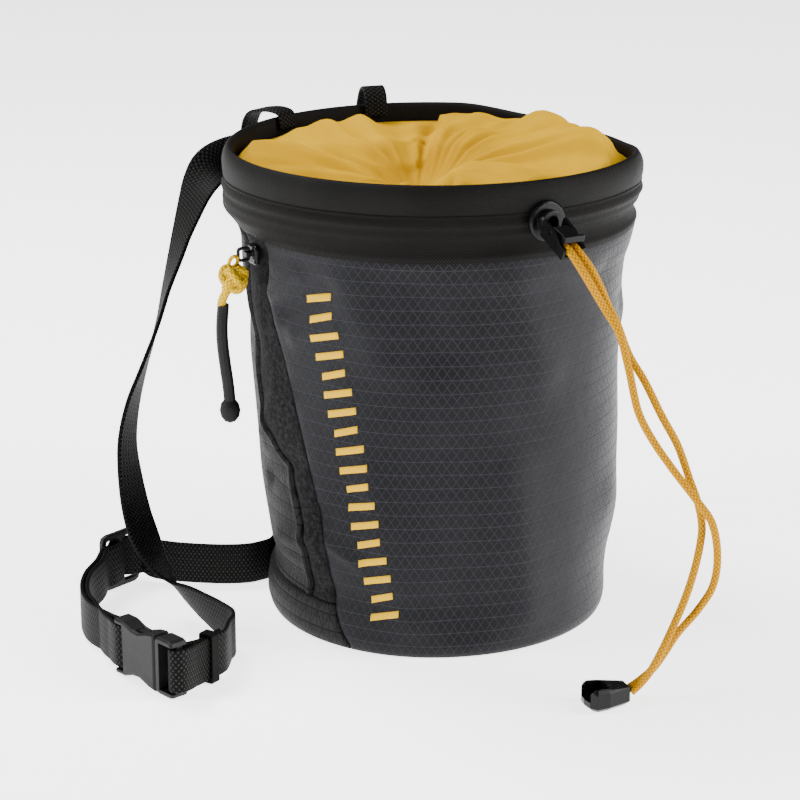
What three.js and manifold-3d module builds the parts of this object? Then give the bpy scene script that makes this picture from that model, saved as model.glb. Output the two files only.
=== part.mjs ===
// A climbing chalk bag with its waist belt, in millimetres, Z up.
// The origin is the middle of the base, on the surface, and the eyelet of the mouth's drawcord faces -Y.
// The bag was set down turned: belt and drawcord are laid out in a frame turned about Z by layTurn.

import * as THREE from 'three';
import { mergeVertices } from 'three/addons/utils/BufferGeometryUtils.js';
import Module from 'manifold-3d';

const wasm = await Module();
wasm.setup();

// The bag
const bagHeight = 152;
const baseRadius = 57;
const rimRadius = 66.5;
const clothWall = 1.5;
const collarWall = 1.8;
const baseWall = 2;
const collarHeight = 22.5;
const seamHeight = bagHeight - collarHeight;
const bandHeight = 14;
const hemHeight = 9.5;
const hemThickness = 3.6;
const gap = 0.3;
const roundSteps = 36;
const layTurn = -30;

// Toward its right far side the rim dips and stands in a little
const rimDip = 3;
const rimPull = 3.5;

// The yellow throat inside the mouth
const linerWall = 1.2;
const linerDrop = 6;
const linerDepth = 11;
const foldHeight = 10;
const throatRadius = 6;
const throatDepth = 12;
const throatPlace = [-4, -1];

// The belt and its fittings
const tailLength = 21;
const beltDrop = 20;
const beltHeight = bagHeight - beltDrop;
const beltStandoff = 1.2;
const strapWidth = 14;
const strapThickness = 1.3;
const layerGap = 0.4;
const barThickness = 2;
const railThickness = 1.4;
const buckleWidth = 18.6;
const buckleThickness = 6.4;
const femaleLength = 20;
const ringLength = 9;
const prongThickness = 2.2;
const sliderLength = 17;
const sliderWidth = 19.4;
const sliderThickness = 2;
const sliderBar = 2;
const keeperLength = 3.4;
const keeperWall = 0.8;

// The two webbing loops on the rim
const loopWidth = 7.6;
const loopThickness = 1.1;
const loops = [
  { name: 'loop_left', angle: 110, rise: 1.8, bulge: 12.6 },
  { name: 'loop_right', angle: 77, rise: 5.2, bulge: 7.4 },
];

// The eyelet, the cord lock and the drawcord
const eyeletDrop = 12;
const eyeletHeight = bagHeight - eyeletDrop;
const eyeletRadius = 6.3;
const eyeletThickness = 1.5;
const hubRadius = 3.9;
const hubLength = 2.4;
const boreRadius = 2;
const lockLength = 12.8;
const lockWidth = 7.8;
const lockShift = 0.8;
const lockDepth = 5.4;
const lockWall = 1;
const lockDroop = 24;
const hingeX = 4;
const hingeZ = 1.2;
const leverLength = 7.8;
const leverLift = 9;
const leverThickness = 1.4;
const lipWidth = 6.8;
const pinRadius = 0.7;
const cordRadius = 1.2;
const stopLength = 14;
const stopWidth = 11;
const stopThickness = 7;

// The pocket's zip slider and its pull
const zipDrop = 3;
const zipHeight = seamHeight - zipDrop;
const zipAngle = -181.5;
const zipBodyLength = 6.2;
const zipBodyWidth = 6;
const zipBodyThickness = 2;
const bridgeLength = 1.4;
const bridgeWall = 0.55;
const tabWidth = 4.8;
const tabLength = 4.6;
const tabWire = 1;
const loopCord = 0.6;
const pullRadius = 1.35;
const knotRadius = 5;
const sleeveRadius = 1.9;
const ballRadius = 3.3;

const rad = THREE.MathUtils.degToRad;
const up = new THREE.Vector3(0, 0, 1);
const vec = (x, y, z) => new THREE.Vector3(x, y, z);

const materials = {
  ripstop: new THREE.MeshStandardMaterial({ color: 0x4a4b51, roughness: 0.62 }),
  blackCloth: new THREE.MeshStandardMaterial({ color: 0x1c1b1b, roughness: 0.8 }),
  collarCloth: new THREE.MeshStandardMaterial({ color: 0x272523, roughness: 0.75 }),
  yellowCloth: new THREE.MeshStandardMaterial({ color: 0xf2bd2c, roughness: 0.7 }),
  webbing: new THREE.MeshStandardMaterial({ color: 0x1e1d1c, roughness: 0.78 }),
  cord: new THREE.MeshStandardMaterial({ color: 0xf0ac12, roughness: 0.65 }),
  plastic: new THREE.MeshStandardMaterial({ color: 0x37363a, roughness: 0.42 }),
  rubber: new THREE.MeshStandardMaterial({ color: 0x29292b, roughness: 0.6 }),
  glossy: new THREE.MeshStandardMaterial({ color: 0x141414, roughness: 0.25 }),
};

// Each row of the wall: its height as a share of the bag's height, and how far the wall stands out
// to the right, left, near and far side, as a share of the flare between base and rim
const wallRows = [
  { up: 0.0, right: 0.0, left: -0.42, near: 0.12, far: -0.05 },
  { up: 0.03, right: 0.04, left: -0.34, near: 0.2, far: 0.0 },
  { up: 0.07, right: 0.03, left: -0.4, near: 0.22, far: 0.02 },
  { up: 0.12, right: 0.08, left: -0.62, near: 0.2, far: -0.1 },
  { up: 0.165, right: 0.18, left: -0.42, near: 0.24, far: 0.02 },
  { up: 0.28, right: 0.36, left: -0.18, near: 0.28, far: 0.12 },
  { up: 0.4, right: 0.39, left: -0.06, near: 0.28, far: 0.18 },
  { up: 0.53, right: 0.34, left: 0.1, near: 0.26, far: 0.24 },
  { up: 0.66, right: 0.41, left: 0.27, near: 0.28, far: 0.32 },
  { up: 0.76, right: 0.48, left: 0.37, near: 0.33, far: 0.42 },
  { up: 0.81, right: 0.7, left: 0.4, near: 0.42, far: 0.58 },
  { up: 0.852, right: 0.82, left: 0.62, near: 0.5, far: 0.74 },
  { up: 0.88, right: 0.74, left: 0.98, near: 0.42, far: 0.7 },
  { up: 0.905, right: 0.94, left: 0.94, near: 0.46, far: 0.86 },
  { up: 0.932, right: 1.05, left: 1.0, near: 0.5, far: 0.94 },
  { up: 0.97, right: 1.09, left: 0.99, near: 0.48, far: 0.96 },
  { up: 1.0, right: 1.04, left: 0.95, near: 0.44, far: 0.92 },
];

const shareAt = (rows, key, x, value) => {
  const last = rows.length - 1;
  const above = rows.findIndex((row) => row[key] >= x);
  if (above === 0 || above === -1) return above === 0 ? rows[0][value] : rows[last][value];
  const low = rows[above - 1];
  const high = rows[above];
  const t = (x - low[key]) / (high[key] - low[key]);
  return low[value] + (high[value] - low[value]) * t;
};

// How far round from the right side the rim dips, as shares of its dip and pull
const rimRows = [
  { turn: -25, dip: 0, pull: 0 },
  { turn: 0, dip: 0.5, pull: 0.25 },
  { turn: 15, dip: 0.9, pull: 0.7 },
  { turn: 40, dip: 1, pull: 1 },
  { turn: 62, dip: 0.6, pull: 0.5 },
  { turn: 82, dip: 0, pull: 0 },
];

// The wall's outline in the laid frame, where right is +X and far is +Y
function laidWall(angle, z, outward = 0) {
  const flare = rimRadius - baseRadius;
  const stand = (side) => baseRadius + flare * shareAt(wallRows, 'up', z / bagHeight, side);
  const across = stand(Math.cos(angle) > 0 ? 'right' : 'left');
  const deep = stand(Math.sin(angle) > 0 ? 'far' : 'near');
  const turn = THREE.MathUtils.radToDeg(Math.atan2(Math.sin(angle), Math.cos(angle)));
  const high = THREE.MathUtils.smoothstep(z, seamHeight, bagHeight);
  const out = outward - rimPull * high * shareAt(rimRows, 'turn', turn, 'pull');
  const height = z - rimDip * high * shareAt(rimRows, 'turn', turn, 'dip');
  return vec((across + out) * Math.cos(angle), (deep + out) * Math.sin(angle), height);
}

// The same outline by the bag's own angles, in degrees
function wall(degrees, z, outward = 0) {
  return laidWall(rad(degrees - layTurn), z, outward).applyAxisAngle(up, rad(layTurn));
}

// The left edge of the grey front panel, and the line of the pocket's zip beside it
const frontEdgeRows = [
  { up: 0.0, edge: -149 },
  { up: 0.05, edge: -153 },
  { up: 0.11, edge: -156.5 },
  { up: 0.21, edge: -158.2 },
  { up: 0.31, edge: -160.6 },
  { up: 0.4, edge: -164 },
  { up: 0.6, edge: -171.8 },
  { up: 0.72, edge: -177.3 },
  { up: 0.86, edge: -177 },
];
const zipRows = [
  { up: 0.09, edge: -167.5 },
  { up: 0.2, edge: -167.5 },
  { up: 0.28, edge: -169 },
  { up: 0.35, edge: -172.5 },
  { up: 0.43, edge: -184.8 },
  { up: 0.5, edge: -189.4 },
  { up: 0.59, edge: -192 },
  { up: 0.7, edge: -192.5 },
  { up: 0.86, edge: -190.5 },
];
const frontAngle = -90;
const frontLeft = (z) => shareAt(frontEdgeRows, 'up', z / bagHeight, 'edge');
const frontRight = (z) => 2 * frontAngle - frontLeft(z);
const zipLine = (z) => shareAt(zipRows, 'up', z / bagHeight, 'edge');
const gapAngle = THREE.MathUtils.radToDeg((1.5 * gap) / baseRadius);

// A closed thin solid between two surfaces over the same grid. Outward is along X(u) cross X(v).
function shellSolid({ outer, inner, stepsU, stepsV, closed = false }) {
  const columns = closed ? stepsU : stepsU + 1;
  const positions = [];
  for (const surface of [outer, inner]) {
    for (let j = 0; j <= stepsV; j++) {
      for (let i = 0; i < columns; i++) {
        positions.push(...surface(i / stepsU, j / stepsV).toArray());
      }
    }
  }
  const at = (side, i, j) => (side * (stepsV + 1) + j) * columns + (i % columns);
  const faces = [];
  const quad = (a, b, c, d) => faces.push(a, b, c, a, c, d);
  for (let j = 0; j < stepsV; j++) {
    for (let i = 0; i < stepsU; i++) {
      quad(at(0, i, j), at(0, i + 1, j), at(0, i + 1, j + 1), at(0, i, j + 1));
      quad(at(1, i, j), at(1, i, j + 1), at(1, i + 1, j + 1), at(1, i + 1, j));
    }
  }
  for (let i = 0; i < stepsU; i++) {
    quad(at(0, i + 1, 0), at(0, i, 0), at(1, i, 0), at(1, i + 1, 0));
    quad(at(0, i, stepsV), at(0, i + 1, stepsV), at(1, i + 1, stepsV), at(1, i, stepsV));
  }
  for (let j = 0; j < stepsV && !closed; j++) {
    quad(at(0, 0, j), at(0, 0, j + 1), at(1, 0, j + 1), at(1, 0, j));
    quad(at(0, stepsU, j + 1), at(0, stepsU, j), at(1, stepsU, j), at(1, stepsU, j + 1));
  }
  return meshGeometry(positions, faces);
}

function meshGeometry(positions, faces) {
  const geometry = new THREE.BufferGeometry();
  geometry.setAttribute('position', new THREE.Float32BufferAttribute(positions, 3));
  geometry.setIndex(faces);
  geometry.computeVertexNormals();
  return geometry;
}

// Booleans on closed geometries
function toSolid(geometry) {
  const bare = geometry.clone();
  bare.deleteAttribute('normal');
  bare.deleteAttribute('uv');
  const merged = mergeVertices(bare, 1e-4);
  return new wasm.Manifold(new wasm.Mesh({
    numProp: 3,
    vertProperties: new Float32Array(merged.attributes.position.array),
    triVerts: new Uint32Array(merged.index.array),
  }));
}

function toGeometry(solid) {
  const mesh = solid.getMesh();
  return meshGeometry(Array.from(mesh.vertProperties), Array.from(mesh.triVerts));
}

const boxAt = (x0, x1, y0, y1, z0, z1) =>
  new THREE.BoxGeometry(x1 - x0, y1 - y0, z1 - z0).translate((x0 + x1) / 2, (y0 + y1) / 2, (z0 + z1) / 2);

// A plate drawn in X and Y, with its thickness centred on Z = 0
function plate(shape, thickness, bevel) {
  const geometry = new THREE.ExtrudeGeometry(shape, {
    depth: thickness - 2 * bevel,
    bevelEnabled: bevel > 0,
    bevelThickness: bevel,
    bevelSize: bevel,
    bevelOffset: -bevel,
    bevelSegments: 1,
    curveSegments: 2,
  });
  return geometry.translate(0, 0, bevel - thickness / 2);
}

function roundedRectangle(x0, x1, y0, y1, radius, Kind = THREE.Shape) {
  const shape = new Kind();
  shape.moveTo(x0 + radius, y0);
  shape.lineTo(x1 - radius, y0);
  shape.quadraticCurveTo(x1, y0, x1, y0 + radius);
  shape.lineTo(x1, y1 - radius);
  shape.quadraticCurveTo(x1, y1, x1 - radius, y1);
  shape.lineTo(x0 + radius, y1);
  shape.quadraticCurveTo(x0, y1, x0, y1 - radius);
  shape.lineTo(x0, y0 + radius);
  shape.quadraticCurveTo(x0, y0, x0 + radius, y0);
  return shape;
}

function named(name, geometry, material) {
  const mesh = new THREE.Mesh(geometry, material);
  mesh.name = name;
  return mesh;
}

// Puts an object's own X and Y along two directions, with its origin at a place
function placed(object, origin, alongX, alongY) {
  const x = alongX.clone().normalize();
  const z = x.clone().cross(alongY).normalize();
  const y = z.clone().cross(x);
  object.quaternion.setFromRotationMatrix(new THREE.Matrix4().makeBasis(x, y, z));
  object.position.copy(origin);
  return object;
}

// The bag's cloth. Patches that meet are cut at the same heights, so their seams stay alike.
function levelsBetween(bottom, top) {
  const between = wallRows.map((row) => row.up * bagHeight).filter((z) => z > bottom + 1 && z < top - 1);
  return [bottom, ...between, top];
}

function wallPatch({ from, to, bottom, top, stepsU }) {
  const levels = levelsBetween(bottom, top);
  const point = (depth) => (u, v) => {
    const z = levels[Math.round(v * (levels.length - 1))];
    return wall(from(z) + (to(z) - from(z)) * u, z, -depth);
  };
  return shellSolid({ outer: point(0), inner: point(clothWall), stepsU, stepsV: levels.length - 1 });
}

function frontPanel() {
  return wallPatch({ from: frontLeft, to: frontRight, bottom: gap, top: seamHeight, stepsU: 24 });
}

function backPanel() {
  return wallPatch({
    from: (z) => frontRight(z) + gapAngle, to: (z) => zipLine(z) + 360 - gapAngle,
    bottom: bandHeight + gap, top: seamHeight, stepsU: 24,
  });
}

function zipFlap() {
  return wallPatch({
    from: zipLine, to: (z) => frontLeft(z) - gapAngle, bottom: bandHeight + gap, top: seamHeight, stepsU: 3,
  });
}

function lowerBand() {
  return wallPatch({
    from: (z) => frontRight(z) + gapAngle, to: (z) => frontLeft(z) + 360 - gapAngle,
    bottom: gap, top: bandHeight, stepsU: 30,
  });
}

function basePanel() {
  const outline = new THREE.Shape();
  for (let i = 0; i < roundSteps; i++) {
    const p = wall((360 * i) / roundSteps, 0, -clothWall - 1.5 * gap);
    if (i === 0) outline.moveTo(p.x, p.y);
    else outline.lineTo(p.x, p.y);
  }
  return new THREE.ExtrudeGeometry(outline, { depth: baseWall, bevelEnabled: false });
}

function collar() {
  const levels = levelsBetween(seamHeight + gap, bagHeight - hemHeight - gap);
  const point = (depth) => (u, v) => wall(360 * u, levels[Math.round(v * (levels.length - 1))], -depth);
  return shellSolid({
    outer: point(0), inner: point(collarWall), stepsU: roundSteps, stepsV: levels.length - 1, closed: true,
  });
}

// The rolled hem round the mouth: its section in shares of its thickness and height
const hemRows = [
  { deep: 0.12, up: 0.0 },
  { deep: 0.0, up: 0.3 },
  { deep: 0.0, up: 0.72 },
  { deep: 0.2, up: 0.94 },
  { deep: 0.5, up: 1.0 },
  { deep: 0.82, up: 0.9 },
  { deep: 1.0, up: 0.6 },
  { deep: 0.96, up: 0.0 },
];

function rimHem() {
  const positions = [];
  const faces = [];
  const count = hemRows.length;
  for (let i = 0; i < roundSteps; i++) {
    for (const row of hemRows) {
      const z = bagHeight - hemHeight * (1 - row.up);
      positions.push(...wall((360 * i) / roundSteps, z, -hemThickness * row.deep).toArray());
    }
  }
  for (let i = 0; i < roundSteps; i++) {
    for (let k = 0; k < count; k++) {
      const a = i * count + k;
      const b = ((i + 1) % roundSteps) * count + k;
      const c = ((i + 1) % roundSteps) * count + ((k + 1) % count);
      const d = i * count + ((k + 1) % count);
      faces.push(a, b, c, a, c, d);
    }
  }
  return meshGeometry(positions, faces);
}

// The folds of the yellow cloth, in the laid frame. A fold runs between two places, given as
// shares of the rim's radius. Its rise is a share of the fold height, and its slopes to the
// right and to the left of that line are shares of the rim's radius.
const foldRows = [
  { x1: -0.9, y1: 0.12, x2: -0.2, y2: 0.36, rise: 0.42, right: 0.1, left: 0.16 },
  { x1: -0.9, y1: -0.12, x2: -0.2, y2: 0.16, rise: 0.4, right: 0.09, left: 0.15 },
  { x1: -0.66, y1: -0.32, x2: -0.14, y2: -0.08, rise: 0.36, right: 0.09, left: 0.14 },
  { x1: -0.36, y1: -0.62, x2: -0.08, y2: -0.2, rise: 0.34, right: 0.08, left: 0.12 },
  { x1: -0.62, y1: 0.58, x2: -0.36, y2: 0.68, rise: 0.36, right: 0.14, left: 0.14 },
  { x1: -0.36, y1: 0.68, x2: -0.1, y2: 0.36, rise: 0.16, right: 0.14, left: 0.14 },
  { x1: 0.06, y1: 0.52, x2: 0.1, y2: -0.55, rise: 0.7, right: 0.1, left: 0.45 },
  { x1: 0.12, y1: 0.3, x2: 0.72, y2: -0.05, rise: 0.34, right: 0.2, left: 0.16 },
  { x1: 0.59, y1: 0.52, x2: 0.76, y2: 0.0, rise: 0.68, right: 0.2, left: 0.13 },
  { x1: 0.2, y1: 0.2, x2: 0.78, y2: -0.28, rise: 0.24, right: 0.12, left: 0.14 },
  { x1: 0.25, y1: -0.3, x2: 0.55, y2: -0.62, rise: 0.26, right: 0.12, left: 0.12 },
];

function foldRise(x, y) {
  let rise = 0;
  for (const fold of foldRows) {
    const ax = fold.x1 * rimRadius;
    const ay = fold.y1 * rimRadius;
    const bx = fold.x2 * rimRadius - ax;
    const by = fold.y2 * rimRadius - ay;
    const length = Math.hypot(bx, by);
    const along = THREE.MathUtils.clamp(((x - ax) * bx + (y - ay) * by) / length ** 2, 0, 1);
    const side = (x - ax) * by - (y - ay) * bx;
    const away = Math.hypot(x - ax - along * bx, y - ay - along * by);
    const slope = (side > 0 ? fold.right : fold.left) * rimRadius;
    rise += fold.rise * Math.exp(-((away / slope) ** 2));
  }
  return foldHeight * rise;
}

// The throat is gathered nearly shut: cloth runs from the hem in to a small mouth, and down
function liner() {
  const [throatX, throatY] = throatPlace;
  const edgeHeight = bagHeight - linerDrop;
  const dishShare = 0.86;
  const point = (depth) => (u, v) => {
    const angle = 2 * Math.PI * u;
    const edge = laidWall(angle, edgeHeight, -hemThickness - 2 * gap);
    const t = Math.min(v / dishShare, 1);
    const down = Math.max(v - dishShare, 0) / (1 - dishShare);
    const lip = vec(throatX, throatY, 0).add(
      vec(Math.cos(angle), Math.sin(angle), 0).multiplyScalar(throatRadius));
    const x = edge.x + (lip.x - edge.x) * t;
    const y = edge.y + (lip.y - edge.y) * t;
    const settle = Math.min(1, 11 * t) * Math.min(1, 4 * (1 - t) + 0.25);
    const z = edgeHeight - linerDepth * t ** 1.6 + foldRise(x, y) * settle - throatDepth * down;
    const turned = THREE.MathUtils.smoothstep(v, dishShare - 0.05, dishShare + 0.05);
    const outwards = depth * turned;
    return vec(x + outwards * Math.cos(angle), y + outwards * Math.sin(angle), z - depth * (1 - turned));
  };
  return shellSolid({
    outer: (u, v) => point(0)(u, v),
    inner: (u, v) => point(linerWall)(u, v),
    stepsU: roundSteps, stepsV: 14, closed: true,
  });
}

// A flat band swept through stations. Each has a place and the direction of the band's width.
function ribbon(stations, width, thickness, spacing) {
  const places = new THREE.CatmullRomCurve3(stations.map((s) => s.place), false, 'centripetal');
  const widths = new THREE.CatmullRomCurve3(stations.map((s) => s.across), false, 'centripetal');
  const spans = stations.length - 1;
  const frames = [];
  for (let i = 0; i < spans; i++) {
    const length = stations[i].place.distanceTo(stations[i + 1].place);
    const steps = Math.max(1, Math.round(length / spacing));
    for (let k = 0; k < steps || (i === spans - 1 && k === steps); k++) {
      const t = (i + k / steps) / spans;
      const tangent = places.getTangent(t);
      const across = widths.getPoint(t);
      across.addScaledVector(tangent, -across.dot(tangent)).normalize();
      frames.push({ place: places.getPoint(t), across, normal: tangent.cross(across) });
    }
  }
  const face = (side) => (u, v) => {
    const frame = frames[Math.round(u * (frames.length - 1))];
    return frame.place.clone()
      .addScaledVector(frame.across, (v - 0.5) * width)
      .addScaledVector(frame.normal, (side * thickness) / 2);
  };
  return shellSolid({ outer: face(1), inner: face(-1), stepsU: frames.length - 1, stepsV: 1 });
}

const down = vec(0, 0, -1);
const upright = (x, y, z, across = up) => ({ place: vec(x, y, z), across: across.clone() });

// Where the fittings stand in the laid frame, as shares of the base's radius from its middle
const share = (x, y, z) => vec(x * baseRadius, y * baseRadius, z);
const femaleBar = share(-1.667, -1.196, buckleWidth / 2 + gap);
const buckleAxis = vec(0.67, -0.742, 0).normalize();
const maleBar = femaleBar.clone().addScaledVector(buckleAxis, femaleLength + ringLength - barThickness);
const sliderPlace = share(-1.815, 0.075, sliderWidth / 2 + gap);
const sliderAxis = vec(0.64, 0.768, 0).normalize();
const sliderFace = vec(0.768, -0.64, 0).normalize();
const keeperAxis = vec(0.57, 0.822, 0).normalize();
const keeperPlace = maleBar.clone().addScaledVector(keeperAxis, 15)
  .setZ(strapWidth / 2 + keeperWall + 2 * gap);

const layerStep = (strapThickness + layerGap) / 2;
const barStep = barThickness * Math.SQRT1_2 + gap + strapThickness / 2;

// The strap's two layers leave a bar along one direction, and close up within a few millimetres
const barRows = [
  { along: 0.0, spread: 1.0 },
  { along: 3.2, spread: 0.82 },
  { along: 7.0, spread: 0.3 },
  { along: 11.0, spread: 0.0 },
];

function besideBar(bar, leave, side, edge, { along, spread = 0, height }) {
  const away = vec(-leave.y, leave.x, 0).multiplyScalar(-side);
  const offset = layerStep + (barStep - layerStep) * spread;
  const place = bar.clone().addScaledVector(leave, along).addScaledVector(away, offset);
  return upright(place.x, place.y, height, edge);
}

function turnRound(bar, leave, side, edge) {
  const away = vec(-leave.y, leave.x, 0).multiplyScalar(-side);
  return [30, 60, 90, 120, 150].map((turn) => {
    const place = bar.clone()
      .addScaledVector(away, barStep * Math.cos(rad(turn)))
      .addScaledVector(leave, -barStep * Math.sin(rad(turn)));
    return upright(place.x, place.y, bar.z, edge);
  });
}

// The doubled stretch between slider and buckle: places between its two layers
const leftLoopRows = [
  { x: -1.805, y: -0.98, z: 8.9 },
  { x: -1.87, y: -0.84, z: 8.3 },
  { x: -1.925, y: -0.69, z: 8.0 },
  { x: -1.952, y: -0.52, z: 8.0 },
  { x: -1.944, y: -0.36, z: 8.4 },
  { x: -1.9, y: -0.2, z: 9.0 },
];

function leftLoop(side) {
  return leftLoopRows.map((row, i) => {
    const before = leftLoopRows[Math.max(i - 1, 0)];
    const after = leftLoopRows[Math.min(i + 1, leftLoopRows.length - 1)];
    const along = vec(after.x - before.x, after.y - before.y, 0).normalize();
    const place = share(row.x, row.y, row.z);
    return upright(place.x - side * along.y * layerStep, place.y + side * along.x * layerStep, row.z);
  });
}

// Stations beside the slider: how far along it, and how far in front of its middle plane
const sliderStation = (along, forward) => {
  const place = sliderPlace.clone()
    .addScaledVector(sliderAxis, along)
    .addScaledVector(sliderFace, forward);
  return upright(place.x, place.y, sliderPlace.z);
};
const slotEdge = sliderLength / 2 - sliderBar;

// The free stretch of the belt in the laid frame, from the bend beside the keeper up to the loops:
// places as shares of base radius and bag height, and the direction of the strap's width
const freeRows = [
  { x: -1.105, y: -1.04, up: 0.002, across: [0, 0, -1] },
  { x: -1.09, y: -0.975, up: 0.002, across: [0, 0, -1] },
  { x: -1.1, y: -0.89, up: 0.002, across: [0, 0.05, -1] },
  { x: -1.165, y: -0.78, up: 0.004, across: [0.03, 0.16, -0.98] },
  { x: -1.245, y: -0.67, up: 0.008, across: [0.08, 0.32, -0.92] },
  { x: -1.33, y: -0.57, up: 0.015, across: [0.15, 0.45, -0.85] },
  { x: -1.41, y: -0.5, up: 0.027, across: [0.24, 0.64, -0.72] },
  { x: -1.472, y: -0.462, up: 0.045, across: [0.33, 0.74, -0.6] },
  { x: -1.53, y: -0.43, up: 0.07, across: [0.45, 0.75, -0.48] },
  { x: -1.58, y: -0.395, up: 0.098, across: [0.55, 0.75, -0.36] },
  { x: -1.63, y: -0.35, up: 0.137, across: [0.6, 0.75, -0.24] },
  { x: -1.675, y: -0.29, up: 0.188, across: [0.54, 0.8, -0.25] },
  { x: -1.71, y: -0.228, up: 0.26, across: [0.42, 0.87, -0.28] },
  { x: -1.722, y: -0.175, up: 0.32, across: [0.3, 0.88, -0.37] },
  { x: -1.696, y: -0.105, up: 0.39, across: [0.16, 0.89, -0.42] },
  { x: -1.632, y: -0.026, up: 0.468, across: [-0.02, 0.93, -0.37] },
  { x: -1.552, y: 0.061, up: 0.556, across: [-0.1, 0.98, -0.2] },
  { x: -1.505, y: 0.15, up: 0.624, across: [-0.2, 0.97, -0.15] },
  { x: -1.455, y: 0.232, up: 0.687, across: [-0.36, 0.92, -0.12] },
  { x: -1.427, y: 0.284, up: 0.723, across: [-0.43, 0.9, -0.08] },
  { x: -1.392, y: 0.345, up: 0.761, across: [-0.52, 0.85, 0] },
  { x: -1.352, y: 0.423, up: 0.801, across: [-0.64, 0.76, 0.08] },
  { x: -1.305, y: 0.512, up: 0.835, across: [-0.72, 0.6, 0.35] },
  { x: -1.26, y: 0.583, up: 0.854, across: [-0.6, 0.42, 0.68] },
  { x: -1.205, y: 0.64, up: 0.862, across: [-0.35, 0.25, 0.9] },
  { x: -1.11, y: 0.705, up: 0.868, across: [-0.08, 0.05, 1] },
];

// Behind the bag, where nothing shows, the strap drops from the loops and comes back low down
const backRows = [
  { x: 0.04, y: 1.245, up: 0.842, across: [0, 0.4, 0.9] },
  { x: 0.2, y: 1.285, up: 0.78, across: [-0.1, 0.9, 0.4] },
  { x: 0.34, y: 1.29, up: 0.66, across: [0, 1, 0] },
  { x: 0.4, y: 1.28, up: 0.42, across: [0, 1, 0] },
  { x: 0.4, y: 1.27, up: 0.16, across: [0, 1, 0] },
  { x: 0.36, y: 1.26, up: 0.03, across: [0, 1, 0] },
  { x: 0.24, y: 1.25, up: -0.033, across: [0, 1, 0.05] },
  { x: 0.08, y: 1.22, up: -0.028, across: [0, 0.98, 0.16] },
  { x: -0.12, y: 1.17, up: -0.01, across: [0, 0.75, 0.65] },
  { x: -0.34, y: 1.1, up: 0.003, across: [0, 0.25, 0.95] },
];

// Low down the strap follows the bag's wall, then runs out to the slider
const lowRows = [
  { x: -1.0, y: 0.165, up: 0.001, across: [0, 0, 1] },
  { x: -1.06, y: 0.13, up: 0.001, across: [0, 0, 1] },
  { x: -1.18, y: 0.112, up: 0.001, across: [0, 0, 1] },
  { x: -1.35, y: 0.11, up: 0.003, across: [0, 0, 1] },
  { x: -1.52, y: 0.126, up: 0.006, across: [0, 0, 1] },
  { x: -1.62, y: 0.146, up: 0.01, across: [0, 0, 1] },
];

const station = (row) => ({
  place: share(row.x, row.y, strapWidth / 2 + row.up * bagHeight),
  across: vec(...row.across),
});
const besideWall = (degrees, z, outward) => {
  const edges = [-0.5, 0, 0.5].map((part) => laidWall(rad(degrees), z + part * strapWidth, outward).setZ(0));
  const widest = edges.reduce((a, b) => (a.length() > b.length() ? a : b));
  return upright(widest.x, widest.y, z);
};

function beltStations() {
  const keeperZ = keeperPlace.z;
  const femaleLeave = share(leftLoopRows[0].x, leftLoopRows[0].y, femaleBar.z).sub(femaleBar).normalize();
  const layers = (bar, leave, edge, far, ends) => (side) => {
    const rows = barRows.map((row) => ({
      ...row, height: bar.z + (far - bar.z) * Math.min(row.along / barRows[barRows.length - 1].along, 1),
    }));
    const beyond = ends.map((along) => ({ along, height: far }));
    return [...rows, ...beyond].map((row) => besideBar(bar, leave, side, edge, row));
  };
  const male = layers(maleBar, keeperAxis, down, keeperZ, [16, tailLength]);
  const female = layers(femaleBar, femaleLeave, up, leftLoopRows[0].z, []);
  const high = [147, 141, 130, 118, 106, 98].map((degrees) =>
    besideWall(degrees, strapWidth / 2 + beltHeight, beltStandoff));
  const low = [120, 134, 148, 160, 168].map((degrees) =>
    besideWall(degrees, strapWidth / 2 + gap, beltStandoff));
  const behind = sliderThickness / 2 + gap + strapThickness / 2;
  const second = behind + strapThickness + layerGap;
  const outside = sliderLength / 2 + 0.6;
  const inSlot = slotEdge + 0.5;
  return [
    ...male(-1).reverse(), ...turnRound(maleBar, keeperAxis, -1, down), ...male(1),
    ...freeRows.map(station), ...high, ...backRows.map(station), ...low, ...lowRows.map(station),
    sliderStation(outside, behind + 0.6), sliderStation(inSlot, behind),
    sliderStation(sliderBar / 2, -behind), sliderStation(-sliderBar / 2, -behind),
    sliderStation(-inSlot, behind), sliderStation(-outside, behind),
    ...leftLoop(1).reverse().slice(0, -1), ...female(1).reverse(),
    ...turnRound(femaleBar, femaleLeave, 1, up), ...female(-1),
    ...leftLoop(-1).slice(1),
    sliderStation(-outside, second), sliderStation(-slotEdge, second), sliderStation(-1, behind + 0.5),
  ];
}

// The ladder slider: a frame with a middle bar, the strap woven through its two slots
function beltSlider() {
  const half = sliderLength / 2;
  const frame = roundedRectangle(-half, half, -sliderWidth / 2, sliderWidth / 2, 2.5);
  const slot = strapWidth / 2 + 2 * gap;
  frame.holes.push(roundedRectangle(sliderBar / 2, slotEdge, -slot, slot, 0.6, THREE.Path));
  frame.holes.push(roundedRectangle(-slotEdge, -sliderBar / 2, -slot, slot, 0.6, THREE.Path));
  return plate(frame, sliderThickness, 0.35);
}

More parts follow.
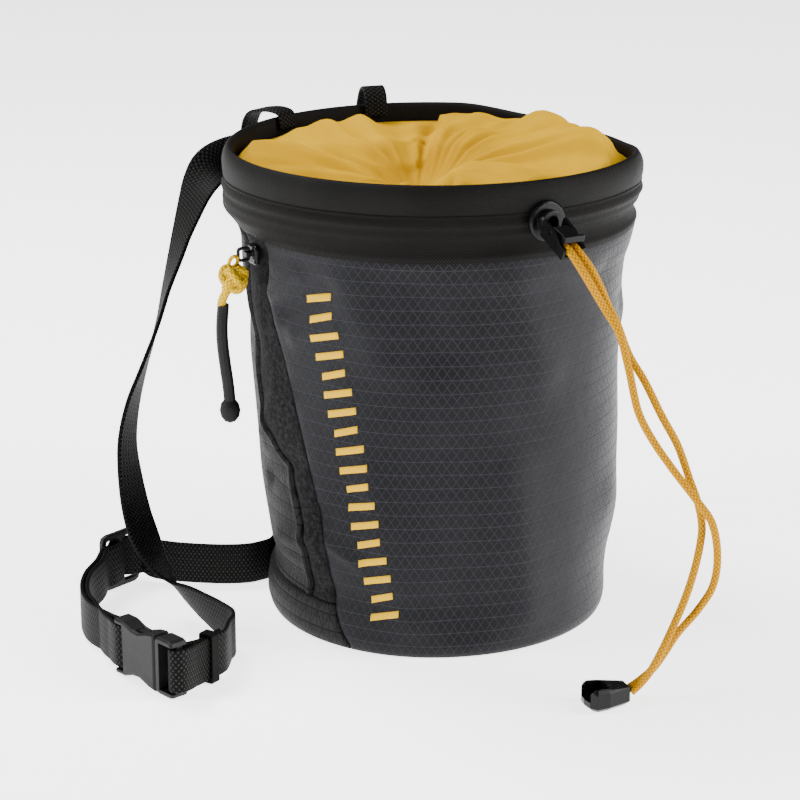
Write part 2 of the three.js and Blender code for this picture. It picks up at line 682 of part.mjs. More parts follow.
// The buckle's outline is waisted between its strap bar and its mouth
function buckleFemale() {
  const start = -barThickness / 2;
  const end = start + femaleLength;
  const barHalf = strapWidth / 2 + 2 * gap + railThickness;
  const waist = 0.39 * buckleWidth;
  const mouth = buckleWidth / 2;
  const outline = new THREE.Shape();
  outline.moveTo(start, -barHalf);
  outline.lineTo(start + 4.5, -barHalf);
  outline.quadraticCurveTo(start + 9, -waist + 0.3, start + 12, -waist);
  outline.quadraticCurveTo(end - 3, -mouth, end, -mouth);
  outline.lineTo(end, mouth);
  outline.quadraticCurveTo(end - 3, mouth, start + 12, waist);
  outline.quadraticCurveTo(start + 9, waist - 0.3, start + 4.5, barHalf);
  outline.lineTo(start, barHalf);
  const slot = strapWidth / 2 + 2 * gap;
  const slotEnd = barThickness / 2 + strapThickness + 3 * gap;
  const half = buckleThickness / 2;
  const cavity = prongThickness / 2 + 2 * gap;
  let solid = toSolid(plate(outline, buckleThickness, 0.6));
  const cuts = [
    boxAt(barThickness / 2, slotEnd, -slot, slot, -half - 1, half + 1),
    boxAt(start - 1, slotEnd, -slot, slot, barThickness / 2, half + 1),
    boxAt(start - 1, slotEnd, -slot, slot, -half - 1, -barThickness / 2),
    boxAt(start + 8.2, end + 1, -0.72 * mouth, 0.72 * mouth, -cavity, cavity),
    boxAt(start + 9, end - 4.5, -mouth - 1, mouth + 1, -cavity, cavity),
  ];
  for (const cut of cuts) solid = solid.subtract(toSolid(cut));
  return toGeometry(solid);
}

function buckleMale() {
  const start = femaleLength - barThickness / 2 + gap;
  const end = start + ringLength - gap;
  const mouth = buckleWidth / 2;
  const slot = strapWidth / 2 + 2 * gap;
  const barStart = end - barThickness;
  const ring = toSolid(plate(roundedRectangle(start, end, -mouth, mouth, 1.8), buckleThickness, 0.6));
  const tip = start - 10.5;
  let solid = ring.subtract(toSolid(boxAt(start + 2.2, barStart, -slot, slot, -5, 5)));
  solid = solid.subtract(toSolid(boxAt(barStart - 1, end + 1, -slot, slot, barThickness / 2, 5)));
  solid = solid.subtract(toSolid(boxAt(barStart - 1, end + 1, -slot, slot, -5, -barThickness / 2)));
  for (const side of [-1, 1]) {
    const inner = side * 0.5 * mouth;
    const outer = side * 0.68 * mouth;
    const prong = boxAt(tip, start + 1, Math.min(inner, outer), Math.max(inner, outer),
      -prongThickness / 2, prongThickness / 2);
    const press = boxAt(tip, tip + 5, Math.min(outer, outer + side * 1.0) - 0.1,
      Math.max(outer, outer + side * 1.0) + 0.1, -prongThickness / 2, prongThickness / 2);
    solid = solid.add(toSolid(prong)).add(toSolid(press));
  }
  return toGeometry(solid);
}

// A flat sleeve round the two layers beside the buckle, with its seam on top
function beltKeeper() {
  const halfDepth = layerStep + strapThickness / 2 + gap;
  const halfHeight = strapWidth / 2 + gap;
  const outline = roundedRectangle(
    -halfDepth - keeperWall, halfDepth + keeperWall, -halfHeight - keeperWall, halfHeight + keeperWall, 0.9);
  outline.holes.push(roundedRectangle(-halfDepth, halfDepth, -halfHeight, halfHeight, 0.3, THREE.Path));
  const options = { depth: keeperLength, bevelEnabled: false, curveSegments: 3 };
  return new THREE.ExtrudeGeometry(outline, options).translate(0, 0, -keeperLength / 2);
}

// A webbing loop over the rim, from inside the hem out and down to the collar's seam
function webLoop({ angle, rise, bulge }) {
  const inside = -hemThickness - 2 * gap - loopThickness / 2;
  const rim = bagHeight - hemHeight / 2;
  const overBelt = beltStandoff + strapThickness / 2 + loopThickness / 2 + 0.6;
  const rows = [
    { out: inside, z: bagHeight - linerDrop + 2.2 },
    { out: inside, z: bagHeight - 2 },
    { out: inside + 0.6, z: bagHeight + 0.5 * rise },
    { out: -0.35 * hemThickness, z: bagHeight + rise },
    { out: 0.3 * bulge, z: bagHeight + 0.85 * rise },
    { out: 0.8 * bulge, z: bagHeight - 0.5 },
    { out: bulge, z: bagHeight - 7 },
    { out: Math.max(0.7 * bulge, overBelt), z: beltHeight + 6 },
    { out: overBelt, z: beltHeight - 0.5 },
  ];
  const across = vec(-Math.sin(rad(angle)), Math.cos(rad(angle)), 0);
  const stations = rows.map((row) => (
    { place: wall(angle, rim, row.out).setZ(row.z), across }));
  stations.push({ place: wall(angle, seamHeight - 3, gap + loopThickness), across });
  return ribbon(stations, loopWidth, loopThickness, 5);
}

// The eyelet on the collar, its axis along its own Z
function eyelet() {
  const profile = [
    [boreRadius, 0], [eyeletRadius - 0.5, 0], [eyeletRadius, 0.4], [eyeletRadius, eyeletThickness - 0.5],
    [eyeletRadius - 0.6, eyeletThickness], [hubRadius, eyeletThickness],
    [hubRadius - 0.3, eyeletThickness + hubLength], [boreRadius, eyeletThickness + hubLength],
    [boreRadius, 0],
  ];
  const points = profile.map(([r, z]) => new THREE.Vector2(r, z));
  return new THREE.LatheGeometry(points, 20).rotateX(Math.PI / 2);
}

// The lock is an open channel: its own X runs along the cords, Y across, Z away from its floor
function lockBody() {
  const half = lockWidth / 2;
  let solid = toSolid(boxAt(0, lockLength, -half, half, -lockDepth / 2, lockDepth / 2));
  const channel = boxAt(-1, lockLength + 1, lockWall - half, half - lockWall, lockWall - lockDepth / 2, 10);
  const slope = boxAt(0, lockLength * 2, -half - 1, half + 1, 0, lockDepth)
    .rotateY(rad(16)).translate(hingeX + 1.6, 0, lockDepth / 2);
  const pinHole = new THREE.CylinderGeometry(pinRadius + gap, pinRadius + gap, lockWidth + 2, 10)
    .translate(hingeX, 0, hingeZ);
  for (const cut of [channel, slope, pinHole]) solid = solid.subtract(toSolid(cut));
  return toGeometry(solid);
}

// The lever's own origin is its hinge, with X along the lever and Y along the pin
function lockLever() {
  const half = lockWidth / 2 - lockWall - gap;
  const root = pinRadius + 0.7;
  const under = root - leverThickness;
  const parts = [
    new THREE.CylinderGeometry(root, root, 2 * half, 12),
    boxAt(0, leverLength, -half, half, under, root),
    boxAt(leverLength - 2, leverLength, -lipWidth / 2, lipWidth / 2, under, root),
    boxAt(leverLength - 0.9, leverLength, -lipWidth / 2, lipWidth / 2, under, root + 0.7),
  ];
  let solid = toSolid(new THREE.CylinderGeometry(pinRadius, pinRadius, lockWidth - gap, 10));
  for (const part of parts) solid = solid.add(toSolid(part));
  return toGeometry(solid);
}

function tube(points, radius, sides, steps) {
  const circle = new THREE.Shape();
  for (let k = 0; k < sides; k++) {
    const angle = (2 * Math.PI * k) / sides;
    const x = radius * Math.cos(angle);
    const y = radius * Math.sin(angle);
    if (k === 0) circle.moveTo(x, y);
    else circle.lineTo(x, y);
  }
  const curve = new THREE.CatmullRomCurve3(points.map((p) => vec(...p)), false, 'centripetal');
  return new THREE.ExtrudeGeometry(circle, { steps, extrudePath: curve });
}

// The drawcord's two strands in the laid frame, from the lock to the cord's end stop
const cordNearRoute = [
  [38.2, -66.3, 135.5], [40.1, -69.6, 134.0], [42.8, -71.9, 130.2], [46.6, -72.6, 124.0],
  [50.3, -72.9, 117.8], [54.4, -74.9, 111.2],
  [57.3, -76.8, 101.0], [60.4, -79.6, 88.0], [64.2, -81.2, 80.6], [70.0, -83.4, 72.4], [77.9, -85.7, 62.4],
  [82.5, -86.4, 55.6], [84.4, -87.0, 45.0], [83.2, -88.0, 36.2], [79.0, -88.6, 29.0], [72.8, -89.0, 21.2],
  [69.2, -89.4, 15.2], [66.0, -89.2, 10.2], [62.0, -88.6, 6.0], [58.4, -89.9, 3.9],
];
const cordFarRoute = [
  [40.6, -64.9, 135.5], [42.4, -68.1, 134.1], [45.8, -69.8, 129.8], [48.9, -70.0, 124.0],
  [51.6, -70.2, 117.8], [54.2, -71.2, 112.6],
  [57.8, -73.2, 103.6], [62.4, -75.4, 96.2], [67.4, -77.6, 86.4], [72.4, -79.2, 77.4], [75.9, -80.8, 67.8],
  [78.6, -82.0, 60.4], [79.8, -84.0, 54.0], [79.4, -85.4, 49.4], [77.6, -87.6, 41.2], [74.8, -89.8, 32.8],
  [71.6, -91.8, 25.4], [67.4, -93.6, 16.4], [64.6, -93.2, 10.6], [61.8, -91.8, 6.0], [59.3, -92.6, 3.9],
];
const cordEndAxis = vec(-0.93, -0.36, 0).normalize();

// The end stop: narrow where the cord goes in, wide and hollow at its open end
function cordEnd() {
  const wide = stopWidth / 2;
  const outline = new THREE.Shape();
  outline.moveTo(0, -0.5 * wide);
  outline.lineTo(0.55 * stopLength, -0.92 * wide);
  outline.lineTo(0.86 * stopLength, -wide);
  outline.quadraticCurveTo(stopLength, -0.7 * wide, stopLength, 0);
  outline.quadraticCurveTo(stopLength, 0.7 * wide, 0.86 * stopLength, wide);
  outline.lineTo(0.55 * stopLength, 0.92 * wide);
  outline.lineTo(0, 0.5 * wide);
  let solid = toSolid(plate(outline, stopThickness, 1.2));
  const rise = Math.atan2(0.5 * stopThickness - cordRadius - 1, 0.8 * stopLength);
  const wedge = boxAt(-2, stopLength * 1.5, -wide - 1, wide + 1, 0, stopThickness)
    .rotateY(-rise).translate(0, 0, cordRadius + 1.1);
  solid = solid.subtract(toSolid(wedge));
  const hollow = boxAt(0.5 * stopLength, stopLength + 1, -0.62 * wide, 0.62 * wide, -0.5, 2 * stopThickness);
  return toGeometry(solid.subtract(toSolid(hollow)));
}

// The pocket's slider rides on the zip line; its own X points down the zip, Z away from the wall.
// Its bridge is an arch across the zip, and the pull's wire frame stands out through that arch.
const tabStart = 0.3;
const tabFoot = zipBodyThickness / 2 + gap;
const archHeight = tabFoot + tabWire + gap;
function zipSlider() {
  const half = zipBodyWidth / 2;
  const post = tabWire / 2 + gap;
  const from = tabStart + tabWidth / 2 - bridgeLength / 2;
  const body = toSolid(plate(
    roundedRectangle(0, zipBodyLength, -half, half, 1.4), zipBodyThickness, 0.5));
  const side = post + bridgeWall;
  const arch = boxAt(from, from + bridgeLength, -side, side, 0, archHeight + bridgeWall);
  const tunnel = boxAt(-1, zipBodyLength, -post, post, zipBodyThickness / 2, archHeight);
  return toGeometry(body.add(toSolid(arch)).subtract(toSolid(tunnel)));
}

function zipTab() {
  const end = tabStart + tabWidth;
  const frame = roundedRectangle(tabStart, end, tabFoot, tabFoot + tabLength, 1.3);
  frame.holes.push(roundedRectangle(
    tabStart + tabWire, end - tabWire, tabFoot + tabWire, tabFoot + tabLength - tabWire, 0.5, THREE.Path));
  return plate(frame, tabWire, 0.2).rotateX(Math.PI / 2);
}

// The cord is looped round the frame's lower side and knotted below it
const knotTall = 0.94 * knotRadius;
const knotPlace = vec(tabStart + tabWidth + gap + knotTall, 0, tabFoot + tabLength + 0.1 * knotRadius);
function pullKnot() {
  const bar = tabStart + tabWidth - tabWire / 2;
  const loopRadius = loopCord + tabWire * Math.SQRT1_2 + gap / 2;
  const loopZ = tabFoot + tabLength - tabWire - gap - loopCord;
  const loop = new THREE.TorusGeometry(loopRadius, loopCord, 6, 12).translate(bar, 0, loopZ);
  const knot = new THREE.SphereGeometry(knotRadius, 12, 8).scale(knotTall / knotRadius, 0.92, 1)
    .translate(...knotPlace.toArray());
  return toGeometry(toSolid(loop).add(toSolid(knot)));
}

// Places the pull's cord and its sleeve pass, as steps from the knot's middle in the laid frame
const pullCordRoute = [[-2.5, 0.5, -4.6], [-3.3, 1.1, -6.2], [-3.9, 1.8, -8.1]];
const sleeveRoute = [
  [-4.1, 2, -8.8], [-4.7, 2.5, -16.3], [-4.6, 3, -22.2], [-3.9, 3.6, -29.4],
  [-3.2, 4.2, -35.5], [-2.8, 4.8, -41.1],
];

// The sleeve ends in a moulded bead
function pullSleeve() {
  const [x, y, z] = sleeveRoute[sleeveRoute.length - 1];
  const bead = new THREE.SphereGeometry(ballRadius, 12, 8).scale(1, 0.9, 1.3).translate(x, y, z - 3);
  return toGeometry(toSolid(tube(sleeveRoute, sleeveRadius, 10, 9)).add(toSolid(bead)));
}

const bag = new THREE.Group();
const turned = new THREE.Group();
turned.rotation.z = rad(layTurn);
bag.add(turned);

bag.add(
  named('front_panel', frontPanel(), materials.ripstop),
  named('back_panel', backPanel(), materials.blackCloth),
  named('zip_flap', zipFlap(), materials.blackCloth),
  named('lower_band', lowerBand(), materials.blackCloth),
  named('base_panel', basePanel(), materials.blackCloth),
  named('collar', collar(), materials.collarCloth),
  named('rim_hem', rimHem(), materials.collarCloth),
);
for (const loop of loops) bag.add(named(loop.name, webLoop(loop), materials.webbing));
turned.add(
  named('liner', liner(), materials.yellowCloth),
  named('belt_strap', ribbon(beltStations(), strapWidth, strapThickness, 7), materials.webbing),
  placed(named('belt_slider', beltSlider(), materials.plastic), sliderPlace, sliderAxis, up),
  placed(named('buckle_female', buckleFemale(), materials.plastic), femaleBar, buckleAxis, up),
  placed(named('buckle_male', buckleMale(), materials.plastic), femaleBar, buckleAxis, up),
  placed(named('belt_keeper', beltKeeper(), materials.webbing), keeperPlace,
    vec(-keeperAxis.y, keeperAxis.x, 0), up),
);

// The eyelet stands on the collar; the lock hangs out from its hub, the lever on top of the lock
const outward = vec(0, -1, 0);
const eyeletPlace = wall(frontAngle, eyeletHeight, gap);
const side = vec(1, 0, 0);
bag.add(placed(named('eyelet', eyelet(), materials.glossy), eyeletPlace, side, up));

const lockAxis = outward.clone().applyAxisAngle(side, rad(lockDroop));
const lockPlace = eyeletPlace.clone()
  .addScaledVector(outward, eyeletThickness + hubLength + gap + (lockDepth / 2) * Math.sin(rad(lockDroop)))
  .add(vec(-lockShift, 0, -0.6));
const lock = new THREE.Group();
placed(lock, lockPlace, lockAxis, side.clone());
lock.add(named('lock_body', lockBody(), materials.glossy));
const lever = named('lock_lever', lockLever(), materials.glossy);
lever.position.set(hingeX, 0, hingeZ);
lever.rotation.y = -rad(leverLift);
lock.add(lever);
bag.add(lock);

turned.add(
  named('drawcord_near', tube(cordNearRoute, cordRadius, 8, 30), materials.cord),
  named('drawcord_far', tube(cordFarRoute, cordRadius, 8, 30), materials.cord),
  placed(named('cord_end', cordEnd(), materials.glossy), vec(58.0, -91.2, stopThickness / 2 + gap),
    cordEndAxis, vec(-cordEndAxis.y, cordEndAxis.x, 0)),
);

// The zip slider, its pull and the knotted cord with its rubber sleeve
const zipOut = wall(zipAngle, zipHeight, 1).sub(wall(zipAngle, zipHeight, 0)).normalize();
const zipStand = 3 * gap + zipBodyThickness / 2;
const zipPlace = wall(zipAngle, zipHeight - zipBodyLength / 2, zipStand).setZ(zipHeight);
const zip = placed(new THREE.Group(), zipPlace, down, zipOut.clone().cross(down));
zip.add(
  named('zip_slider', zipSlider(), materials.glossy),
  named('zip_tab', zipTab(), materials.glossy),
  named('pull_knot', pullKnot(), materials.cord),
);
bag.add(zip);
const pull = new THREE.Group();
pull.position.copy(knotPlace).applyQuaternion(zip.quaternion).add(zipPlace).applyAxisAngle(up, -rad(layTurn));
pull.add(
  named('pull_cord', tube(pullCordRoute, pullRadius, 8, 4), materials.cord),
  named('pull_sleeve', pullSleeve(), materials.rubber),
);
turned.add(pull);

export default bag;
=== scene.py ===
import math

import bpy
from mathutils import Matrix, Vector
import numpy as np


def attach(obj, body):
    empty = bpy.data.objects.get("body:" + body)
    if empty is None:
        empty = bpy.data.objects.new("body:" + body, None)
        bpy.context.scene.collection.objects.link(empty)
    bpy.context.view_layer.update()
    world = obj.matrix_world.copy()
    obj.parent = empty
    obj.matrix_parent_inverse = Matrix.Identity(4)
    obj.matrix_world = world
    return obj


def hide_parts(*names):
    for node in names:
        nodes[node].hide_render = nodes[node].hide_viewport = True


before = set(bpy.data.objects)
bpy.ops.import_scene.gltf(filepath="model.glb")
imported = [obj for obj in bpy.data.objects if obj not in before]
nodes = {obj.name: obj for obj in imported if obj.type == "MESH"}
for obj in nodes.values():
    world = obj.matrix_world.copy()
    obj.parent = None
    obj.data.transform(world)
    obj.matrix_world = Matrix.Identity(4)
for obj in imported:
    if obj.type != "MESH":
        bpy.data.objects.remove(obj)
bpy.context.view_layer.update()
MM = 0.001

# Named sizes in millimetres, as in the part's source
bag_height, base_radius, rim_radius = 152.0, 57.0, 66.5
cloth_wall, collar_wall = 1.5, 1.8
seam_height, band_height, hem_height, hem_thickness = 129.5, 14.0, 9.5, 3.6
gap, lay_turn, rim_dip, rim_pull = 0.3, -30.0, 3.0, 3.5
liner_wall, liner_drop, liner_depth, fold_height = 1.2, 6.0, 11.0, 10.0
throat_radius, throat_depth, throat_place = 6.0, 12.0, (-4.0, -1.0)
tail_length, belt_height, belt_standoff = 21.0, 132.0, 1.2
strap_width, strap_thickness, layer_gap, bar_thickness = 14.0, 1.3, 0.4, 2.0
buckle_width, female_length, ring_length = 18.6, 20.0, 9.0
slider_length, slider_width, slider_thickness, slider_bar = 17.0, 19.4, 2.0, 2.0
keeper_wall, keeper_reach = 0.8, 15.0
loop_width, loop_thickness = 7.6, 1.1
cord_radius, pull_radius = 1.2, 1.35
zip_angle, zip_drop, zip_standoff = -181.5, 3.0, 1.9
knot_drop, knot_standoff = 10.1, 6.4

# Height up the wall, and how far it stands out to the right, left, near and far side
WALL = np.array([
    (0.0, 0.0, -0.42, 0.12, -0.05), (0.03, 0.04, -0.34, 0.2, 0.0), (0.07, 0.03, -0.4, 0.22, 0.02),
    (0.12, 0.08, -0.62, 0.2, -0.1), (0.165, 0.18, -0.42, 0.24, 0.02), (0.28, 0.36, -0.18, 0.28, 0.12),
    (0.4, 0.39, -0.06, 0.28, 0.18), (0.53, 0.34, 0.1, 0.26, 0.24), (0.66, 0.41, 0.27, 0.28, 0.32),
    (0.76, 0.48, 0.37, 0.33, 0.42), (0.81, 0.7, 0.4, 0.42, 0.58), (0.852, 0.82, 0.62, 0.5, 0.74),
    (0.88, 0.74, 0.98, 0.42, 0.7), (0.905, 0.94, 0.94, 0.46, 0.86), (0.932, 1.05, 1.0, 0.5, 0.94),
    (0.97, 1.09, 0.99, 0.48, 0.96), (1.0, 1.04, 0.95, 0.44, 0.92),
])
RIM = np.array([(-25, 0, 0), (0, 0.5, 0.25), (15, 0.9, 0.7), (40, 1, 1), (62, 0.6, 0.5), (82, 0, 0)], float)
FRONT_EDGE = np.array([
    (0.0, -149), (0.05, -153), (0.11, -156.5), (0.21, -158.2), (0.31, -160.6), (0.4, -164),
    (0.6, -171.8), (0.72, -177.3), (0.86, -177),
])
ZIP = np.array([
    (0.09, -167.5), (0.2, -167.5), (0.28, -169), (0.35, -172.5), (0.43, -184.8), (0.5, -189.4),
    (0.59, -192), (0.7, -192.5), (0.86, -190.5),
])


def eased(xs, ys, x):
    """A smooth line through a table's rows that doesn't overshoot them."""
    xs, ys = np.asarray(xs, float), np.asarray(ys, float)
    step = np.diff(xs)
    slope = np.diff(ys) / step
    tangent = np.zeros(len(xs))
    same = slope[:-1] * slope[1:] > 0
    tangent[1:-1][same] = 2 * slope[:-1][same] * slope[1:][same] / (slope[:-1] + slope[1:])[same]
    x = np.clip(x, xs[0], xs[-1])
    i = np.clip(np.searchsorted(xs, x, side="right") - 1, 0, len(xs) - 2)
    t = (x - xs[i]) / step[i]
    return ((2 * t**3 - 3 * t**2 + 1) * ys[i] + (t**3 - 2 * t**2 + t) * step[i] * tangent[i]
            + (3 * t**2 - 2 * t**3) * ys[i + 1] + (t**3 - t**2) * step[i] * tangent[i + 1])


def smoothstep(x, low, high):
    t = np.clip((x - low) / (high - low), 0, 1)
    return t * t * (3 - 2 * t)


def turned(points, degrees):
    c, s = math.cos(math.radians(degrees)), math.sin(math.radians(degrees))
    x, y = points[..., 0], points[..., 1]
    return np.stack([c * x - s * y, s * x + c * y, points[..., 2]], -1)


def to_bag(points):
    return turned(np.asarray(points, float), lay_turn)


def laid_wall(angle, z, outward=0.0):
    """The wall's outline in the laid frame; angles in radians."""
    angle, z = np.broadcast_arrays(np.asarray(angle, float), np.asarray(z, float))
    share = z / bag_height
    flare = rim_radius - base_radius
    side = [base_radius + flare * eased(WALL[:, 0], WALL[:, k], share) for k in (1, 2, 3, 4)]
    across = np.where(np.cos(angle) > 0, side[0], side[1])
    deep = np.where(np.sin(angle) > 0, side[3], side[2])
    turn = np.degrees(np.arctan2(np.sin(angle), np.cos(angle)))
    high = smoothstep(z, seam_height, bag_height)
    out = outward - rim_pull * high * eased(RIM[:, 0], RIM[:, 2], turn)
    height = z - rim_dip * high * eased(RIM[:, 0], RIM[:, 1], turn)
    return np.stack([(across + out) * np.cos(angle), (deep + out) * np.sin(angle), height], -1)


def wall(degrees, z, outward=0.0):
    return to_bag(laid_wall(np.radians(np.asarray(degrees, float) - lay_turn), z, outward))


def front_left(z):
    return eased(FRONT_EDGE[:, 0], FRONT_EDGE[:, 1], z / bag_height)


def front_right(z):
    return -180.0 - front_left(z)


def zip_line(z):
    return eased(ZIP[:, 0], ZIP[:, 1], z / bag_height)


gap_angle = math.degrees(1.5 * gap / base_radius)


# Meshes. A grid's faces look to the side given by its column direction cross its row direction.
def finish_mesh(name, points, faces, uvs, material):
    """A smooth piece from points in millimetres, with one UV for each corner of each face."""
    mesh = bpy.data.meshes.new(name)
    mesh.from_pydata((np.asarray(points) * MM).tolist(), [], [list(map(int, f)) for f in faces])
    layer = mesh.uv_layers.new(name="cloth")
    layer.data.foreach_set("uv", np.asarray(uvs, float).ravel())
    mesh.polygons.foreach_set("use_smooth", [True] * len(mesh.polygons))
    mesh.materials.append(material)
    mesh.update()
    piece = bpy.data.objects.new(name, mesh)
    bpy.context.scene.collection.objects.link(piece)
    return piece


def grid_faces(rows, columns, closed, at, uv, flip=False):
    """Quads between rows 0..rows-1 of a grid, with a UV for each corner."""
    faces, corners = [], []
    last = columns if closed else columns - 1
    for j in range(rows - 1):
        for i in range(last):
            k = (i + 1) % columns
            quad = [(j, i, i), (j, k, i + 1), (j + 1, k, i + 1), (j + 1, i, i)]
            if flip:
                quad.reverse()
            faces.append([at(a, b) for a, b, c in quad])
            corners.extend(uv[a][c] for a, b, c in quad)
    return faces, corners


def shell(name, outer, inner, uv, material, closed=False):
    """A thin closed solid between two grids of points; uv has one more column when closed."""
    rows, columns = outer.shape[:2]
    count = rows * columns
    points = np.concatenate([outer.reshape(-1, 3), inner.reshape(-1, 3)])

    def front(j, i):
        return j * columns + i

    def back(j, i):
        return count + j * columns + i

    faces, corners = grid_faces(rows, columns, closed, front, uv)
    more, extra = grid_faces(rows, columns, closed, back, uv, True)
    faces += more
    corners += extra
    top = rows - 1
    for i in range(columns if closed else columns - 1):
        k = (i + 1) % columns
        faces.append([front(0, k), front(0, i), back(0, i), back(0, k)])
        corners.extend([uv[0][i + 1], uv[0][i], uv[0][i], uv[0][i + 1]])
        faces.append([front(top, i), front(top, k), back(top, k), back(top, i)])
        corners.extend([uv[top][i], uv[top][i + 1], uv[top][i + 1], uv[top][i]])
    if not closed:
        side = columns - 1
        for j in range(rows - 1):
            faces.append([front(j, 0), front(j + 1, 0), back(j + 1, 0), back(j, 0)])
            corners.extend([uv[j][0], uv[j + 1][0], uv[j + 1][0], uv[j][0]])
            faces.append([front(j + 1, side), front(j, side), back(j, side), back(j + 1, side)])
            corners.extend([uv[j + 1][side], uv[j][side], uv[j][side], uv[j + 1][side]])
    return finish_mesh(name, points, faces, corners, material)


def tube_mesh(name, path, radii, sides, material, closed=False):
    """A round tube along a path, with UV in millimetres round it and along it."""
    path = np.asarray(path, float)
    if closed:
        tangents = np.roll(path, -1, 0) - np.roll(path, 1, 0)
    else:
        tangents = np.gradient(path, axis=0)
    tangents /= np.linalg.norm(tangents, axis=1)[:, None]
    radii = np.broadcast_to(np.asarray(radii, float), (len(path),))
    start = np.array([0, 0, 1.0]) if abs(tangents[0][2]) < 0.8 else np.array([1.0, 0, 0])
    normal = start - tangents[0] * start.dot(tangents[0])
    normal /= np.linalg.norm(normal)
    turn = np.arange(sides) * 2 * math.pi / sides
    rings, along, lengths = [], 0.0, []
    for n in range(len(path)):
        normal = normal - tangents[n] * normal.dot(tangents[n])
        normal /= np.linalg.norm(normal)
        side = np.cross(tangents[n], normal)
        if n:
            along += np.linalg.norm(path[n] - path[n - 1])
        lengths.append(along)
        rings.append(path[n] + radii[n] * (np.outer(np.cos(turn), normal) + np.outer(np.sin(turn), side)))
    points = np.array(rings).reshape(-1, 3)
    round_mm = 2 * math.pi * float(radii.max())
    uv = [[(i * round_mm / sides, length) for i in range(sides + 1)] for length in lengths]
    rows = len(path)
    faces, corners = grid_faces(rows, sides, True, lambda j, i: j * sides + i, uv)
    if closed:
        for i in range(sides):
            k = (i + 1) % sides
            faces.append([(rows - 1) * sides + i, (rows - 1) * sides + k, k, i])
            corners.extend([uv[-1][i], uv[-1][i + 1], uv[0][i + 1], uv[0][i]])
    else:
        points = np.concatenate([points, path[:1], path[-1:]])
        for i in range(sides):
            k = (i + 1) % sides
            faces.append([k, i, rows * sides])
            corners.extend([uv[0][i + 1], uv[0][i], uv[0][i]])
            faces.append([(rows - 1) * sides + i, (rows - 1) * sides + k, rows * sides + 1])
            corners.extend([uv[-1][i], uv[-1][i + 1], uv[-1][i]])
    return finish_mesh(name, points, faces, corners, material)


def catmull(points, ts):
    """The same centripetal curve through places that the part's source uses."""
    points = np.asarray(points, float)
    last = len(points) - 1
    out = []
    for t in np.atleast_1d(ts):
        p = min(max(t, 0.0), 1.0) * last
        i = min(int(p), last - 1)
        w = p - i
        p1, p2 = points[i], points[i + 1]
        p0 = points[i - 1] if i > 0 else 2 * p1 - p2
        p3 = points[i + 2] if i + 2 <= last else 2 * p2 - p1
        d0, d1, d2 = (max(np.sum((b - a) ** 2) ** 0.25, 1e-4) for a, b in ((p0, p1), (p1, p2), (p2, p3)))
        t1 = ((p1 - p0) / d0 - (p2 - p0) / (d0 + d1) + (p2 - p1) / d1) * d1
        t2 = ((p2 - p1) / d1 - (p3 - p1) / (d1 + d2) + (p3 - p2) / d2) * d1
        out.append((2 * w**3 - 3 * w**2 + 1) * p1 + (w**3 - 2 * w**2 + w) * t1
                   + (3 * w**2 - 2 * w**3) * p2 + (w**3 - w**2) * t2)
    return np.array(out)


def even_steps(points, spacing):
    """Shares of the curve through places, about a spacing in millimetres apart."""
    last = len(points) - 1
    ts = []
    for i in range(last):
        steps = max(2, int(round(np.linalg.norm(points[i + 1] - points[i]) / spacing)))
        ts += [(i + k / steps) / last for k in range(steps)]
    return ts + [1.0]


def dense(points, spacing):
    """The curve through places, sampled about every spacing millimetres."""
    points = np.asarray(points, float)
    return catmull(points, even_steps(points, spacing))


def ribbon(name, stations, width, thickness, spacing, material):
    """A flat band swept through stations of a place and the direction of its width."""
    places = np.array([s[0] for s in stations], float)
    widths = np.array([s[1] for s in stations], float)
    ts = even_steps(places, spacing)
    centre = catmull(places, ts)
    step = 1e-4
    ahead = catmull(places, np.clip(np.array(ts) + step, 0, 1))
    tangent = ahead - catmull(places, np.clip(np.array(ts) - step, 0, 1))
    tangent /= np.linalg.norm(tangent, axis=1)[:, None]
    across = catmull(widths, ts)
    across -= tangent * np.sum(across * tangent, axis=1)[:, None]
    across /= np.linalg.norm(across, axis=1)[:, None]
    normal = np.cross(tangent, across)
    along = np.concatenate([[0], np.cumsum(np.linalg.norm(np.diff(centre, axis=0), axis=1))])
    # The section: a band with rounded edges, its outline once round
    half, thick = width / 2, thickness / 2
    edge = 0.42 * thickness
    flat = np.linspace(-half + edge, half - edge, 13)
    bend = np.radians([30, 60, 90, 120, 150])
    section = [(v, thick) for v in flat]
    section += [(half - edge * (1 - math.sin(a)), thick * math.cos(a)) for a in bend]
    section += [(v, -thick) for v in flat[::-1]]
    section += [(-half + edge * (1 - math.sin(a)), -thick * math.cos(a)) for a in bend]
    count = len(section)
    points = np.array([centre + across * a + normal * b for a, b in section]).transpose(1, 0, 2)
    uv = [[(s[0], length) for s in section + section[:1]] for length in along]
    faces, corners = grid_faces(len(ts), count, True, lambda j, i: j * count + i, uv, True)
    first, final = list(range(count)), [(len(ts) - 1) * count + i for i in range(count)]
    faces += [first, final[::-1]]
    corners += [uv[0][i] for i in range(count)] + [uv[-1][i] for i in reversed(range(count))]
    return finish_mesh(name, points.reshape(-1, 3), faces, corners, material)


